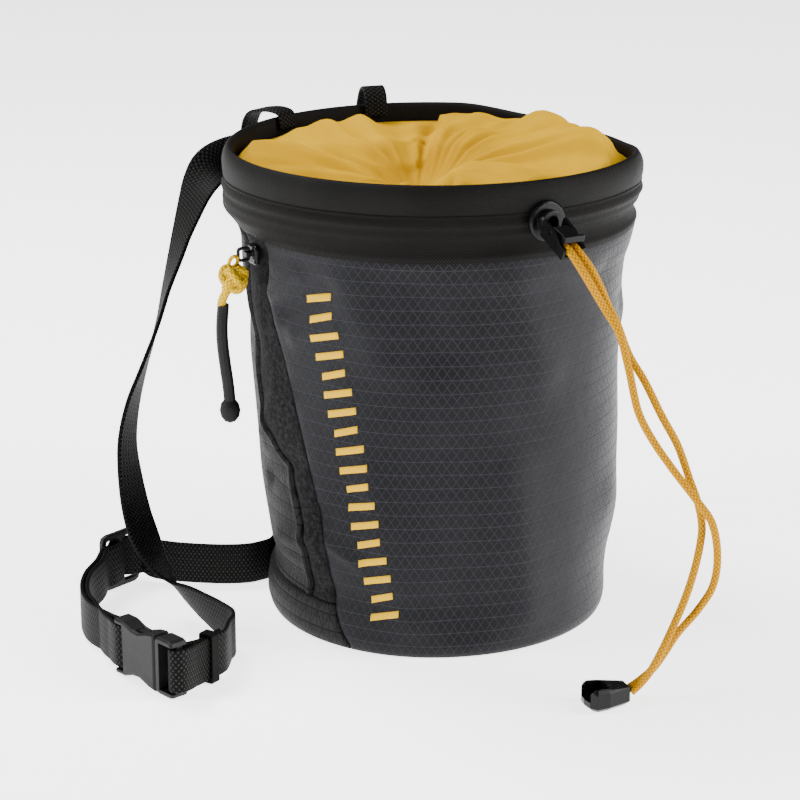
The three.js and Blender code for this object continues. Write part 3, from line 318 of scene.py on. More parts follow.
# Materials
class Nodes:
    """A short way to write a material's node tree."""

    def __init__(self, name):
        self.material = bpy.data.materials.new(name)
        self.material.use_nodes = True
        self.tree = self.material.node_tree
        self.shader = self.tree.nodes["Principled BSDF"]

    def add(self, kind, **settings):
        node = self.tree.nodes.new(kind)
        for key, value in settings.items():
            setattr(node, key, value)
        return node

    def wire(self, value, socket):
        if isinstance(value, bpy.types.NodeSocket):
            self.tree.links.new(value, socket)
        else:
            socket.default_value = value

    def math(self, operation, a, b=0.0, c=0.0):
        node = self.add("ShaderNodeMath", operation=operation)
        for value, socket in zip((a, b, c), node.inputs):
            self.wire(value, socket)
        return node.outputs[0]

    def ramp(self, value, low, high, start=0.0, end=1.0):
        node = self.add("ShaderNodeMapRange", interpolation_type="SMOOTHSTEP")
        for v, socket in zip((value, low, high, start, end), node.inputs):
            self.wire(v, socket)
        return node.outputs[0]

    def mix(self, share, a, b):
        node = self.add("ShaderNodeMix", data_type="RGBA")
        self.wire(share, node.inputs[0])
        self.wire(a if isinstance(a, bpy.types.NodeSocket) else (*a, 1.0), node.inputs[6])
        self.wire(b if isinstance(b, bpy.types.NodeSocket) else (*b, 1.0), node.inputs[7])
        return node.outputs[2]

    def uv(self):
        coordinates = self.add("ShaderNodeUVMap", uv_map="cloth")
        split = self.add("ShaderNodeSeparateXYZ")
        self.tree.links.new(coordinates.outputs[0], split.inputs[0])
        return split.outputs[0], split.outputs[1]

    def noise(self, scale, detail=3.0, roughness=0.5):
        node = self.add("ShaderNodeTexNoise")
        self.wire(self.add("ShaderNodeTexCoord").outputs["Object"], node.inputs["Vector"])
        node.inputs["Scale"].default_value = scale
        node.inputs["Detail"].default_value = detail
        node.inputs["Roughness"].default_value = roughness
        return node.outputs[0]

    def line(self, value, pitch, width, soft=1.6):
        """1 on lines a pitch apart, 0 between them."""
        away = self.math("PINGPONG", value, pitch / 2)
        return self.ramp(away, width / 2, width / 2 * soft + 0.02, 1.0, 0.0)

    def wave(self, value, pitch, shift=0.0):
        return self.math("SINE", self.math("MULTIPLY_ADD", value, 2 * math.pi / pitch, shift))

    def bump(self, height, distance, strength, onto=None):
        node = self.add("ShaderNodeBump")
        node.inputs["Strength"].default_value = strength
        node.inputs["Distance"].default_value = distance * MM
        self.wire(height, node.inputs["Height"])
        if onto is not None:
            self.wire(onto, node.inputs["Normal"])
        return node.outputs[0]

    def surface(self, color, roughness, normal=None, **constants):
        """Sets the shader; what is the same all over goes straight on its sockets."""
        self.wire(color if isinstance(color, bpy.types.NodeSocket) else (*color, 1.0),
                  self.shader.inputs["Base Color"])
        self.wire(roughness, self.shader.inputs["Roughness"])
        if normal is not None:
            self.wire(normal, self.shader.inputs["Normal"])
        for key, value in constants.items():
            name = key.replace("_", " ").title().replace("Ior", "IOR")
            self.shader.inputs[name].default_value = value
        return self.material


def ripstop():
    n = Nodes("ripstop_weave")
    u, v = n.uv()
    a = n.math("DIVIDE", u, 3.05)
    b = n.math("DIVIDE", v, 4.35)
    rising = n.line(n.math("ADD", a, b), 1.0, 0.055)
    falling = n.line(n.math("SUBTRACT", a, b), 1.0, 0.055)
    level = n.line(b, 1.0, 0.05)
    crossed = n.math("MAXIMUM", rising, falling)
    threads = n.math("MAXIMUM", crossed, n.math("MULTIPLY", level, 0.85))
    weave = n.math("MULTIPLY", n.wave(u, 0.42), n.wave(v, 0.42))
    cloud = n.noise(26.0, 4.0, 0.55)
    grain = n.noise(900.0, 2.0, 0.6)
    tone = n.mix(n.ramp(cloud, 0.35, 0.7), (0.0035, 0.0035, 0.0045), (0.0075, 0.0075, 0.009))
    tone = n.mix(n.math("MULTIPLY", grain, 0.3), tone, (0.018, 0.018, 0.021))
    tone = n.mix(n.math("MULTIPLY", threads, 0.8), tone, (0.028, 0.028, 0.033))
    rough = n.math("MULTIPLY_ADD", threads, 0.3, n.math("MULTIPLY_ADD", cloud, 0.12, 0.3))
    height = n.math("MULTIPLY_ADD", threads, -0.9, n.math("MULTIPLY", weave, 0.16))
    normal = n.bump(height, 0.2, 0.9)
    creases = n.noise(32.0, 4.0, 0.5)
    normal = n.bump(creases, 3.2, 0.55, normal)
    return n.surface(tone, rough, normal, specular_ior_level=0.07)


def grid_cloth():
    n = Nodes("grid_weave")
    u, v = n.uv()
    level = n.line(v, 5.4, 0.5)
    upright = n.line(u, 3.0, 0.36)
    cross = n.math("MAXIMUM",
                   n.line(n.math("ADD", n.math("DIVIDE", u, 6.0), n.math("DIVIDE", v, 10.8)), 1.0, 0.05),
                   n.line(n.math("SUBTRACT", n.math("DIVIDE", u, 6.0), n.math("DIVIDE", v, 10.8)), 1.0, 0.05))
    grooves = n.math("MAXIMUM", level, n.math("MAXIMUM", n.math("MULTIPLY", upright, 0.9),
                                              n.math("MULTIPLY", cross, 0.8)))
    weave = n.math("MULTIPLY", n.wave(u, 0.55), n.wave(v, 0.55))
    cloud = n.noise(40.0, 4.0)
    puff = n.math("MULTIPLY", n.math("PINGPONG", v, 2.7), 0.37)
    tone = n.mix(n.ramp(cloud, 0.35, 0.7), (0.005, 0.005, 0.005), (0.009, 0.009, 0.009))
    tone = n.mix(n.math("MULTIPLY", n.math("ADD", weave, 1.0), 0.2), tone, (0.022, 0.022, 0.022))
    tone = n.mix(n.math("MULTIPLY", grooves, 0.85), tone, (0.0015, 0.0015, 0.0015))
    height = n.math("SUBTRACT", n.math("MULTIPLY_ADD", weave, 0.12, puff), grooves)
    normal = n.bump(height, 0.4, 0.9)
    rough = n.math("MULTIPLY_ADD", cloud, 0.2, 0.5)
    return n.surface(tone, rough, normal, specular_ior_level=0.1)


def flap_cloth():
    n = Nodes("flap_felt")
    fuzz = n.noise(700.0, 3.0, 0.7)
    cloud = n.noise(120.0, 4.0, 0.6)
    tone = n.mix(n.ramp(fuzz, 0.35, 0.7), (0.004, 0.004, 0.0043), (0.017, 0.017, 0.018))
    tone = n.mix(n.math("MULTIPLY", n.ramp(cloud, 0.45, 0.7), 0.5), tone, (0.006, 0.006, 0.006))
    normal = n.bump(n.math("ADD", fuzz, n.math("MULTIPLY", cloud, 1.4)), 0.35, 0.8)
    return n.surface(tone, 0.85, normal, specular_ior_level=0.06)


def collar_cloth():
    n = Nodes("collar_weave")
    u, v = n.uv()
    weave = n.math("MULTIPLY", n.wave(u, 0.95), n.wave(v, 0.95))
    dots = n.ramp(weave, -0.1, 0.8)
    cloud = n.noise(28.0, 4.0, 0.55)
    tone = n.mix(n.ramp(cloud, 0.3, 0.7), (0.0022, 0.002, 0.0018), (0.004, 0.0037, 0.0034))
    tone = n.mix(n.math("MULTIPLY", dots, 0.6), tone, (0.016, 0.015, 0.014))
    normal = n.bump(weave, 0.16, 0.8)
    normal = n.bump(n.noise(60.0, 3.0), 1.2, 0.25, normal)
    rough = n.math("MULTIPLY_ADD", cloud, 0.15, 0.52)
    return n.surface(tone, rough, normal, specular_ior_level=0.06)


def hem_cloth():
    n = Nodes("hem_weave")
    u, v = n.uv()
    weave = n.math("MULTIPLY", n.wave(u, 0.8), n.wave(v, 0.8))
    cloud = n.noise(40.0, 4.0, 0.55)
    tone = n.mix(n.ramp(cloud, 0.3, 0.7), (0.003, 0.0028, 0.0026), (0.005, 0.0047, 0.0044))
    tone = n.mix(n.math("MULTIPLY", n.ramp(weave, 0.0, 0.8), 0.35), tone, (0.014, 0.013, 0.012))
    normal = n.bump(weave, 0.1, 0.6)
    normal = n.bump(n.noise(90.0, 3.0), 0.8, 0.2, normal)
    return n.surface(tone, 0.58, normal, specular_ior_level=0.06)


def yellow_cloth():
    n = Nodes("yellow_weave")
    fuzz = n.noise(900.0, 2.0, 0.6)
    cloud = n.noise(35.0, 3.0, 0.5)
    tone = n.mix(n.ramp(cloud, 0.3, 0.7), (0.44, 0.225, 0.0), (0.58, 0.32, 0.0))
    tone = n.mix(n.math("MULTIPLY", fuzz, 0.3), tone, (0.66, 0.38, 0.0))
    normal = n.bump(fuzz, 0.12, 0.5)
    normal = n.bump(n.noise(110.0, 4.0, 0.55), 0.9, 0.3, normal)
    return n.surface(tone, 0.72, normal, specular_ior_level=0.03)


def webbing():
    n = Nodes("webbing_weave")
    u, v = n.uv()
    ribs = 1.35
    column = n.math("FLOOR", n.math("DIVIDE", u, 1.0))
    shift = n.math("MULTIPLY", n.math("MODULO", n.math("ADD", column, 100.0), 2.0), math.pi)
    pick = n.math("SINE", n.math("ADD", n.math("MULTIPLY", v, 2 * math.pi / ribs), shift))
    strand = n.wave(u, 2.0, math.pi / 2)
    dot = n.ramp(n.math("MULTIPLY", pick, n.math("ABSOLUTE", n.wave(u, 2.0))), 0.05, 0.75)
    cloud = n.noise(60.0, 4.0)
    tone = n.mix(n.ramp(cloud, 0.35, 0.7), (0.0015, 0.0015, 0.0014), (0.003, 0.003, 0.0028))
    tone = n.mix(n.math("MULTIPLY", dot, 0.8), tone, (0.028, 0.027, 0.026))
    height = n.math("MULTIPLY_ADD", dot, 1.0, n.math("MULTIPLY", strand, 0.15))
    normal = n.bump(height, 0.28, 0.85)
    return n.surface(tone, 0.6, normal, specular_ior_level=0.05)


def braid(name, radius, dark, light):
    n = Nodes(name)
    u, v = n.uv()
    girth = 2 * math.pi * radius
    pitch = girth / 6
    a = n.math("DIVIDE", u, pitch)
    b = n.math("DIVIDE", v, pitch * 1.15)
    left = n.math("ABSOLUTE", n.math("SINE", n.math("MULTIPLY", n.math("ADD", a, b), math.pi)))
    right = n.math("ABSOLUTE", n.math("SINE", n.math("MULTIPLY", n.math("SUBTRACT", a, b), math.pi)))
    strands = n.math("MULTIPLY", left, right)
    fuzz = n.noise(1500.0, 2.0)
    tone = n.mix(n.ramp(strands, 0.05, 0.7), dark, light)
    tone = n.mix(n.math("MULTIPLY", fuzz, 0.25), tone, light)
    normal = n.bump(strands, 0.22, 0.9)
    return n.surface(tone, 0.6, normal, specular_ior_level=0.06)


def plastic(name, dark, light, roughness, grain, specular):
    n = Nodes(name)
    fine = n.noise(grain, 3.0, 0.6)
    cloud = n.noise(90.0, 3.0)
    tone = n.mix(n.ramp(cloud, 0.3, 0.7), dark, light)
    rough = n.math("MULTIPLY_ADD", fine, 0.18, roughness)
    normal = n.bump(fine, 0.05, 0.35)
    return n.surface(tone, rough, normal, specular_ior_level=specular)


def print_ink():
    n = Nodes("yellow_print")
    fine = n.noise(1200.0, 2.0)
    tone = n.mix(fine, (0.52, 0.29, 0.0), (0.60, 0.36, 0.0))
    return n.surface(tone, 0.5, n.bump(fine, 0.05, 0.4), specular_ior_level=0.1)


ripstop_mat, grid_mat, flap_mat = ripstop(), grid_cloth(), flap_cloth()
collar_mat, hem_mat, yellow_mat = collar_cloth(), hem_cloth(), yellow_cloth()
webbing_mat = webbing()
cord_mat = braid("drawcord_braid", cord_radius, (0.26, 0.10, 0.0), (0.52, 0.25, 0.0))
knot_mat = braid("pull_braid", pull_radius, (0.32, 0.18, 0.001), (0.66, 0.42, 0.008))
plastic_mat = plastic("buckle_plastic", (0.005, 0.005, 0.0053), (0.008, 0.008, 0.0084), 0.38, 700.0, 0.14)
glossy_mat = plastic("lock_plastic", (0.0015, 0.0015, 0.0015), (0.003, 0.003, 0.003), 0.2, 500.0, 0.14)
rubber_mat = plastic("sleeve_rubber", (0.006, 0.006, 0.0065), (0.01, 0.01, 0.011), 0.42, 900.0, 0.1)
ink_mat = print_ink()

# Camera at the photograph's angle, its place in the laid frame
CAMERA_PLACE, CAMERA_TILT = (-10.1, -857.87, 338.73), 72.4
camera_data = bpy.data.cameras.new("camera")
camera_data.lens = 124.5
camera_data.sensor_width = 36
camera_data.clip_start = 0.05
camera = bpy.data.objects.new("camera", camera_data)
bpy.context.scene.collection.objects.link(camera)
camera.location = to_bag(CAMERA_PLACE) * MM
camera.rotation_euler = (math.radians(CAMERA_TILT), 0, math.radians(lay_turn))
bpy.context.scene.camera = camera

# The drawcord's two strands: the part's places in the laid frame, from the lock to the end stop
NEAR_ROUTE = [
    (38.2, -66.3, 135.5), (40.1, -69.6, 134.0), (42.8, -71.9, 130.2), (46.6, -72.6, 124.0), (50.3, -72.9, 117.8),
    (54.4, -74.9, 111.2), (57.3, -76.8, 101.0), (60.4, -79.6, 88.0), (64.2, -81.2, 80.6), (70.0, -83.4, 72.4),
    (77.9, -85.7, 62.4), (82.5, -86.4, 55.6), (84.4, -87.0, 45.0), (83.2, -88.0, 36.2), (79.0, -88.6, 29.0),
    (72.8, -89.0, 21.2), (69.2, -89.4, 15.2), (66.0, -89.2, 10.2), (62.0, -88.6, 6.0), (58.4, -89.9, 3.9),
]
FAR_ROUTE = [
    (40.6, -64.9, 135.5), (42.4, -68.1, 134.1), (45.8, -69.8, 129.8), (48.9, -70.0, 124.0), (51.6, -70.2, 117.8),
    (54.2, -71.2, 112.6), (57.8, -73.2, 103.6), (62.4, -75.4, 96.2), (67.4, -77.6, 86.4), (72.4, -79.2, 77.4),
    (75.9, -80.8, 67.8), (78.6, -82.0, 60.4), (79.8, -84.0, 54.0), (79.4, -85.4, 49.4), (77.6, -87.6, 41.2),
    (74.8, -89.8, 32.8), (71.6, -91.8, 25.4), (67.4, -93.6, 16.4), (64.6, -93.2, 10.6), (61.8, -91.8, 6.0),
    (59.3, -92.6, 3.9),
]
for name, route in (("drawcord_near", NEAR_ROUTE), ("drawcord_far", FAR_ROUTE)):
    line = to_bag(dense(route, 0.7))
    length = float(np.sum(np.linalg.norm(np.diff(line, axis=0), axis=1))) * MM
    strand = tube_mesh(name + "_braid", line, cord_radius, 16, cord_mat)
    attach(strand, "bag")
    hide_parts(name)

# The bag's cloth. Soft dents and folds of the wall: a line from (degrees, height) to (degrees, height), its half
# width in millimetres and how far it stands out
FOLDS = np.array([
    (-176, 112, -163, 121, 3.0, 0.5), (-171, 107, -152, 118, 2.6, -0.55), (-166, 100, -150, 106, 3.0, 0.35),
    (-148, 122, -135, 96, 7.0, 0.5), (-128, 124, -118, 100, 7.0, -0.5), (-98, 123, -86, 92, 8.0, 0.5),
    (-140, 60, -128, 10, 7.0, 0.45), (-118, 66, -110, 8, 8.0, -0.4), (-96, 60, -88, 6, 8.0, 0.45),
    (-156, 34, -146, 30, 2.4, 0.4), (-158, 44, -146, 52, 4.0, -0.4), (-60, 118, -38, 104, 6.0, -0.4),
    (-30, 98, -10, 90, 6.0, 0.4), (-48, 40, -20, 22, 9.0, 0.4), (20, 116, 60, 104, 8.0, -0.5),
    (70, 90, 120, 78, 10.0, 0.5), (140, 104, 168, 92, 7.0, -0.5), (90, 44, 150, 30, 10.0, -0.5),
    (168, 62, 184, 78, 4.0, 0.6), (172, 48, 190, 58, 3.5, -0.6), (176, 30, 196, 34, 3.0, 0.5),
])
# Millimetres of cloth in a degree at the wall's mean radius, and how strong the folds are
ARC, FOLD_STRENGTH = math.radians(1) * 61.0, 2.6


def relief(degrees, z):
    """How far the soft folds push the wall out, in millimetres."""
    total = np.zeros(np.broadcast(degrees, z).shape)
    for shift in (-360.0, 0.0, 360.0):
        for a0, z0, a1, z1, half, rise in FOLDS:
            x, y = (degrees + shift - a0) * ARC, z - z0
            bx, by = (a1 - a0) * ARC, z1 - z0
            t = np.clip((x * bx + y * by) / (bx * bx + by * by), 0, 1)
            away2 = (x - t * bx) ** 2 + (y - t * by) ** 2
            total += rise * np.exp(-away2 / half**2)
    calm = smoothstep(z, 2, 14) * (1 - smoothstep(z, seam_height - 9, seam_height - 1))
    return FOLD_STRENGTH * total * calm


def patch(name, from_edge, to_edge, bottom, top, columns, rows, material, extra=None):
    """A piece of the wall between two edges in degrees, its own edges rolled in."""
    edge_roll, roll_width = 0.5, 0.6
    heights = np.linspace(bottom, top, rows)
    share = np.linspace(0, 1, columns)
    z = np.repeat(heights[:, None], columns, 1)
    start, end = from_edge(z), to_edge(z)
    degrees = start + (end - start) * share[None, :]
    arc = (degrees - start) * ARC
    width = (end - start) * ARC
    inset = np.minimum(np.minimum(arc, width - arc), np.minimum(z - bottom, top - z))
    roll = -edge_roll * np.exp(-inset / roll_width)
    out = relief(degrees, z) + roll
    if extra is not None:
        out = out + extra(arc, width)
    outer = wall(degrees, z, out)
    inner = wall(degrees, z, np.minimum(out, 0) - cloth_wall)
    uv = np.stack([degrees * ARC, z], -1).tolist()
    return shell(name, outer, inner, uv, material)


# Edges of the wall's pieces, in degrees at a height
def after_front(z):
    return front_right(z) + gap_angle


def before_front(z):
    return front_left(z) - gap_angle


def before_zip(z):
    return zip_line(z) + 360 - gap_angle


def back_piping(arc, width):
    """A low ridge beside the zip's seam."""
    return 0.8 * np.exp(-(((width - arc) - 1.6) / 1.1) ** 2)


def flap_crown(arc, width):
    """The flap stands up along its middle."""
    return 0.7 * np.sin(np.clip(arc / width, 0, 1) * math.pi) - 0.3


front = patch("front_cloth", front_left, front_right, gap, seam_height, 150, 110, ripstop_mat)
back = patch("back_cloth", after_front, before_zip, band_height + gap, seam_height, 170, 90, grid_mat, back_piping)
flap = patch("flap_cloth", zip_line, before_front, band_height + gap, seam_height, 30, 90, flap_mat, flap_crown)
band = patch("band_cloth", after_front, lambda z: before_front(z) + 360, gap, band_height, 200, 16, grid_mat)
for piece, node, slot in ((front, "front_panel", "ripstop"), (back, "back_panel", "black_cloth"),
                          (flap, "zip_flap", "black_cloth"), (band, "lower_band", "black_cloth")):
    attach(piece, "bag")
    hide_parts(node)

# The collar, with its sewn ridges
columns, rows = 240, 44
degrees = np.repeat(np.linspace(0, 360, columns, endpoint=False)[None, :], rows, 0)
z = np.repeat(np.linspace(seam_height - 1.2, bag_height - hem_height + 0.2, rows)[:, None], columns, 1)
# Each ridge or groove: its height, its half width and how far it stands out
RIDGES = [(139.6, 1.0, 0.55), (136.4, 1.2, 0.35), (141.9, 0.7, -0.5), (130.0, 1.0, 0.35)]
lift = sum(rise * np.exp(-((z - height) / half) ** 2) for height, half, rise in RIDGES)
wander = 0.5 * np.sin(np.radians(3 * degrees + 40)) + 0.35 * np.sin(np.radians(7 * degrees))
lift = lift + 0.25 * wander * smoothstep(z, 129, 134) * (1 - smoothstep(z, 137, 141))
# The collar's radius over the wall's mean radius
WIDER = 1.06
uv = [[(k * 360 / columns * ARC * WIDER, row) for k in range(columns + 1)] for row in z[:, 0]]
collar = shell("collar_cloth", wall(degrees, z, lift), wall(degrees, z, -collar_wall), uv, collar_mat, closed=True)
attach(collar, "bag")
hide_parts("collar")

# The rolled hem: its section in shares of thickness and height, once round
HEM = [(0.12, 0.0), (0.0, 0.3), (0.0, 0.72), (0.2, 0.94), (0.5, 1.0), (0.82, 0.9), (1.0, 0.6), (0.96, 0.0)]
steps = 32
ring = catmull(HEM + HEM[:1], np.linspace(0, 1, steps + 1))[:-1]
degrees = np.linspace(0, 360, columns, endpoint=False)
hem_points = [wall(degrees, bag_height - hem_height * (1 - high), -hem_thickness * deep) for deep, high in ring]
section = np.concatenate([ring, ring[:1]]) * (hem_thickness, hem_height)
length = np.concatenate([[0], np.cumsum(np.linalg.norm(np.diff(section, axis=0), axis=1))])
uv = [[(k * 360 / columns * ARC * WIDER, along) for k in range(columns + 1)] for along in length]
faces, corners = grid_faces(steps + 1, columns, True, lambda j, i: j % steps * columns + i, uv)
hem = finish_mesh("hem_cloth", np.array(hem_points).reshape(-1, 3), faces, corners, hem_mat)
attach(hem, "bag")
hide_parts("rim_hem")

# The yellow cloth gathered into the throat: folds as in the part, with finer ones between them
FOLD_ROWS = np.array([
    (-0.9, 0.12, -0.2, 0.36, 0.42, 0.1, 0.16), (-0.9, -0.12, -0.2, 0.16, 0.4, 0.09, 0.15),
    (-0.66, -0.32, -0.14, -0.08, 0.36, 0.09, 0.14), (-0.36, -0.62, -0.08, -0.2, 0.34, 0.08, 0.12),
    (-0.62, 0.58, -0.36, 0.68, 0.36, 0.14, 0.14), (-0.36, 0.68, -0.1, 0.36, 0.16, 0.14, 0.14),
    (0.06, 0.52, 0.1, -0.55, 0.7, 0.1, 0.45), (0.12, 0.3, 0.72, -0.05, 0.34, 0.2, 0.16),
    (0.59, 0.52, 0.76, 0.0, 0.68, 0.2, 0.13), (0.2, 0.2, 0.78, -0.28, 0.24, 0.12, 0.14),
    (0.25, -0.3, 0.55, -0.62, 0.26, 0.12, 0.12),
])


def fold_rise(x, y):
    """How far the main folds lift the liner, in millimetres."""
    rise = np.zeros(x.shape)
    for x1, y1, x2, y2, height, right, left in FOLD_ROWS:
        ax, ay = x1 * rim_radius, y1 * rim_radius
        bx, by = x2 * rim_radius - ax, y2 * rim_radius - ay
        along = np.clip(((x - ax) * bx + (y - ay) * by) / (bx * bx + by * by), 0, 1)
        side = (x - ax) * by - (y - ay) * bx
        away = np.hypot(x - ax - along * bx, y - ay - along * by)
        slope = np.where(side > 0, right, left) * rim_radius
        rise += height * np.exp(-((away / slope) ** 2))
    return fold_height * rise


def liner_grid(depth, columns, rows):
    """The liner's points, from the hem in to the throat and down, a depth below its upper face."""
    u = np.linspace(0, 1, columns, endpoint=False)[None, :]
    v = np.linspace(0, 1, rows)[:, None]
    u, v = np.broadcast_arrays(u, v)
    angle = 2 * math.pi * u
    dish = 0.86
    edge = laid_wall(angle, bag_height - liner_drop, -hem_thickness - 2 * gap)
    t = np.minimum(v / dish, 1)
    fall = np.maximum(v - dish, 0) / (1 - dish)
    lip_x = throat_place[0] + throat_radius * np.cos(angle)
    lip_y = throat_place[1] + throat_radius * np.sin(angle)
    x = edge[..., 0] + (lip_x - edge[..., 0]) * t
    y = edge[..., 1] + (lip_y - edge[..., 1]) * t
    settle = np.minimum(1, 11 * t) * np.minimum(1, 4 * (1 - t) + 0.25)
    pleats = 0.9 * np.sin(17 * angle + 2.0 * np.sin(3 * angle)) + 0.45 * np.sin(31 * angle + 1.0)
    fine = pleats * np.clip(6 * t, 0, 1) * np.clip(3.2 * (1 - t), 0, 1) * 1.1
    zz = bag_height - liner_drop - liner_depth * t**1.6 + (fold_rise(x, y) + fine) * settle - throat_depth * fall
    over = smoothstep(v, dish - 0.05, dish + 0.05)
    out = depth * over
    return np.stack([x + out * np.cos(angle), y + out * np.sin(angle), zz - depth * (1 - over)], -1)


columns, rows = 300, 80
outer, inner = to_bag(liner_grid(0, columns, rows)), to_bag(liner_grid(liner_wall, columns, rows))
uv = [[(k * 380.0 / columns, j * 70.0 / rows) for k in range(columns + 1)] for j in range(rows)]
liner = shell("throat_cloth", outer, inner, uv, yellow_mat, closed=True)
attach(liner, "bag")
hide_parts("liner")

# The two webbing loops on the rim
for name, angle, rise, bulge in (("loop_left", 110, 1.8, 12.6), ("loop_right", 77, 5.2, 7.4)):
    inside = -hem_thickness - 2 * gap - loop_thickness / 2
    over_belt = belt_standoff + strap_thickness / 2 + loop_thickness / 2 + 0.6
    rows = [
        (inside, bag_height - liner_drop + 2.2), (inside, bag_height - 2), (inside + 0.6, bag_height + 0.5 * rise),
        (-0.35 * hem_thickness, bag_height + rise), (0.3 * bulge, bag_height + 0.85 * rise),
        (0.8 * bulge, bag_height - 0.5), (bulge, bag_height - 7),
        (max(0.7 * bulge, over_belt), belt_height + 6), (over_belt, belt_height - 0.5),
    ]
    across = (-math.sin(math.radians(angle)), math.cos(math.radians(angle)), 0)
    stations = []
    for out, height in rows:
        place = wall(angle, bag_height - hem_height / 2, out)
        stations.append(((place[0], place[1], height), across))
    stations.append((wall(angle, seam_height - 3, gap + loop_thickness), across))
    piece = ribbon(name + "_web", stations, loop_width, loop_thickness, 1.2, webbing_mat)
    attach(piece, "bag")
    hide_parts(name)

# The belt, in the laid frame. Its rows are shares of the base's radius, and of the bag's height
# above the lying webbing; the last column is the direction of its width
UP = np.array([0, 0, 1.0])


def vec(x, y, z):
    return np.array([x, y, z], float)


def unit(v):
    return v / np.linalg.norm(v)


def share(x, y, z):
    return vec(x * base_radius, y * base_radius, z)


female_bar = share(-1.667, -1.196, buckle_width / 2 + gap)
buckle_axis = unit(vec(0.67, -0.742, 0))
male_bar = female_bar + buckle_axis * (female_length + ring_length - bar_thickness)
slider_place = share(-1.815, 0.075, slider_width / 2 + gap)
slider_axis = unit(vec(0.64, 0.768, 0))
slider_face = unit(vec(0.768, -0.64, 0))
keeper_axis = unit(vec(0.57, 0.822, 0))
keeper_place = male_bar + keeper_axis * keeper_reach
keeper_place[2] = strap_width / 2 + keeper_wall + 2 * gap
layer_step = (strap_thickness + layer_gap) / 2
bar_step = bar_thickness * math.sqrt(0.5) + gap + strap_thickness / 2
BAR_ROWS = [(0.0, 1.0), (3.2, 0.82), (7.0, 0.3), (11.0, 0.0)]
LEFT_LOOP = [(-1.805, -0.98, 8.9), (-1.87, -0.84, 8.3), (-1.925, -0.69, 8.0), (-1.952, -0.52, 8.0),
             (-1.944, -0.36, 8.4), (-1.9, -0.2, 9.0)]
FREE = [
    (-1.105, -1.04, 0.002, (0, 0, -1)), (-1.09, -0.975, 0.002, (0, 0, -1)), (-1.1, -0.89, 0.002, (0, 0.05, -1)),
    (-1.165, -0.78, 0.004, (0.03, 0.16, -0.98)), (-1.245, -0.67, 0.008, (0.08, 0.32, -0.92)),
    (-1.33, -0.57, 0.015, (0.15, 0.45, -0.85)), (-1.41, -0.5, 0.027, (0.24, 0.64, -0.72)),
    (-1.472, -0.462, 0.045, (0.33, 0.74, -0.6)), (-1.53, -0.43, 0.07, (0.45, 0.75, -0.48)),
    (-1.58, -0.395, 0.098, (0.55, 0.75, -0.36)), (-1.63, -0.35, 0.137, (0.6, 0.75, -0.24)),
    (-1.675, -0.29, 0.188, (0.54, 0.8, -0.25)), (-1.71, -0.228, 0.26, (0.42, 0.87, -0.28)),
    (-1.722, -0.175, 0.32, (0.3, 0.88, -0.37)), (-1.696, -0.105, 0.39, (0.16, 0.89, -0.42)),
    (-1.632, -0.026, 0.468, (-0.02, 0.93, -0.37)), (-1.552, 0.061, 0.556, (-0.1, 0.98, -0.2)),
    (-1.505, 0.15, 0.624, (-0.2, 0.97, -0.15)), (-1.455, 0.232, 0.687, (-0.36, 0.92, -0.12)),
    (-1.427, 0.284, 0.723, (-0.43, 0.9, -0.08)), (-1.392, 0.345, 0.761, (-0.52, 0.85, 0)),
    (-1.352, 0.423, 0.801, (-0.64, 0.76, 0.08)), (-1.305, 0.512, 0.835, (-0.72, 0.6, 0.35)),
    (-1.26, 0.583, 0.854, (-0.6, 0.42, 0.68)), (-1.205, 0.64, 0.862, (-0.35, 0.25, 0.9)),
    (-1.11, 0.705, 0.868, (-0.08, 0.05, 1)),
]
BACK = [
    (0.04, 1.245, 0.842, (0, 0.4, 0.9)), (0.2, 1.285, 0.78, (-0.1, 0.9, 0.4)), (0.34, 1.29, 0.66, (0, 1, 0)),
    (0.4, 1.28, 0.42, (0, 1, 0)), (0.4, 1.27, 0.16, (0, 1, 0)), (0.36, 1.26, 0.03, (0, 1, 0)),
    (0.24, 1.25, -0.033, (0, 1, 0.05)), (0.08, 1.22, -0.028, (0, 0.98, 0.16)),
    (-0.12, 1.17, -0.01, (0, 0.75, 0.65)), (-0.34, 1.1, 0.003, (0, 0.25, 0.95)),
]
LOW = [
    (-1.0, 0.165, 0.001, (0, 0, 1)), (-1.06, 0.13, 0.001, (0, 0, 1)), (-1.18, 0.112, 0.001, (0, 0, 1)),
    (-1.35, 0.11, 0.003, (0, 0, 1)), (-1.52, 0.126, 0.006, (0, 0, 1)), (-1.62, 0.146, 0.01, (0, 0, 1)),
]


def beside_bar(bar, leave, side, edge, along, spread, height):
    """A station beside a bar, where the webbing leaves it."""
    away = vec(-leave[1], leave[0], 0) * -side
    place = bar + leave * along + away * (layer_step + (bar_step - layer_step) * spread)
    return (vec(place[0], place[1], height), edge)


def turn_round(bar, leave, side, edge):
    """Stations of the turn round a bar."""
    away = vec(-leave[1], leave[0], 0) * -side
    out = []
    for turn in (30, 60, 90, 120, 150):
        a = math.radians(turn)
        place = bar + away * bar_step * math.cos(a) - leave * bar_step * math.sin(a)
        out.append((vec(place[0], place[1], bar[2]), edge))
    return out


def left_loop(side):
    """One layer of the doubled stretch between buckle and tri-glide."""
    out = []
    for i, (x, y, z) in enumerate(LEFT_LOOP):
        before, after = LEFT_LOOP[max(i - 1, 0)], LEFT_LOOP[min(i + 1, len(LEFT_LOOP) - 1)]
        along = unit(vec(after[0] - before[0], after[1] - before[1], 0))
        place = share(x, y, z)
        out.append((vec(place[0] - side * along[1] * layer_step, place[1] + side * along[0] * layer_step, z), UP))
    return out


def slider_station(along, forward):
    """A station in the tri-glide."""
    place = slider_place + slider_axis * along + slider_face * forward
    return (vec(place[0], place[1], slider_place[2]), UP)


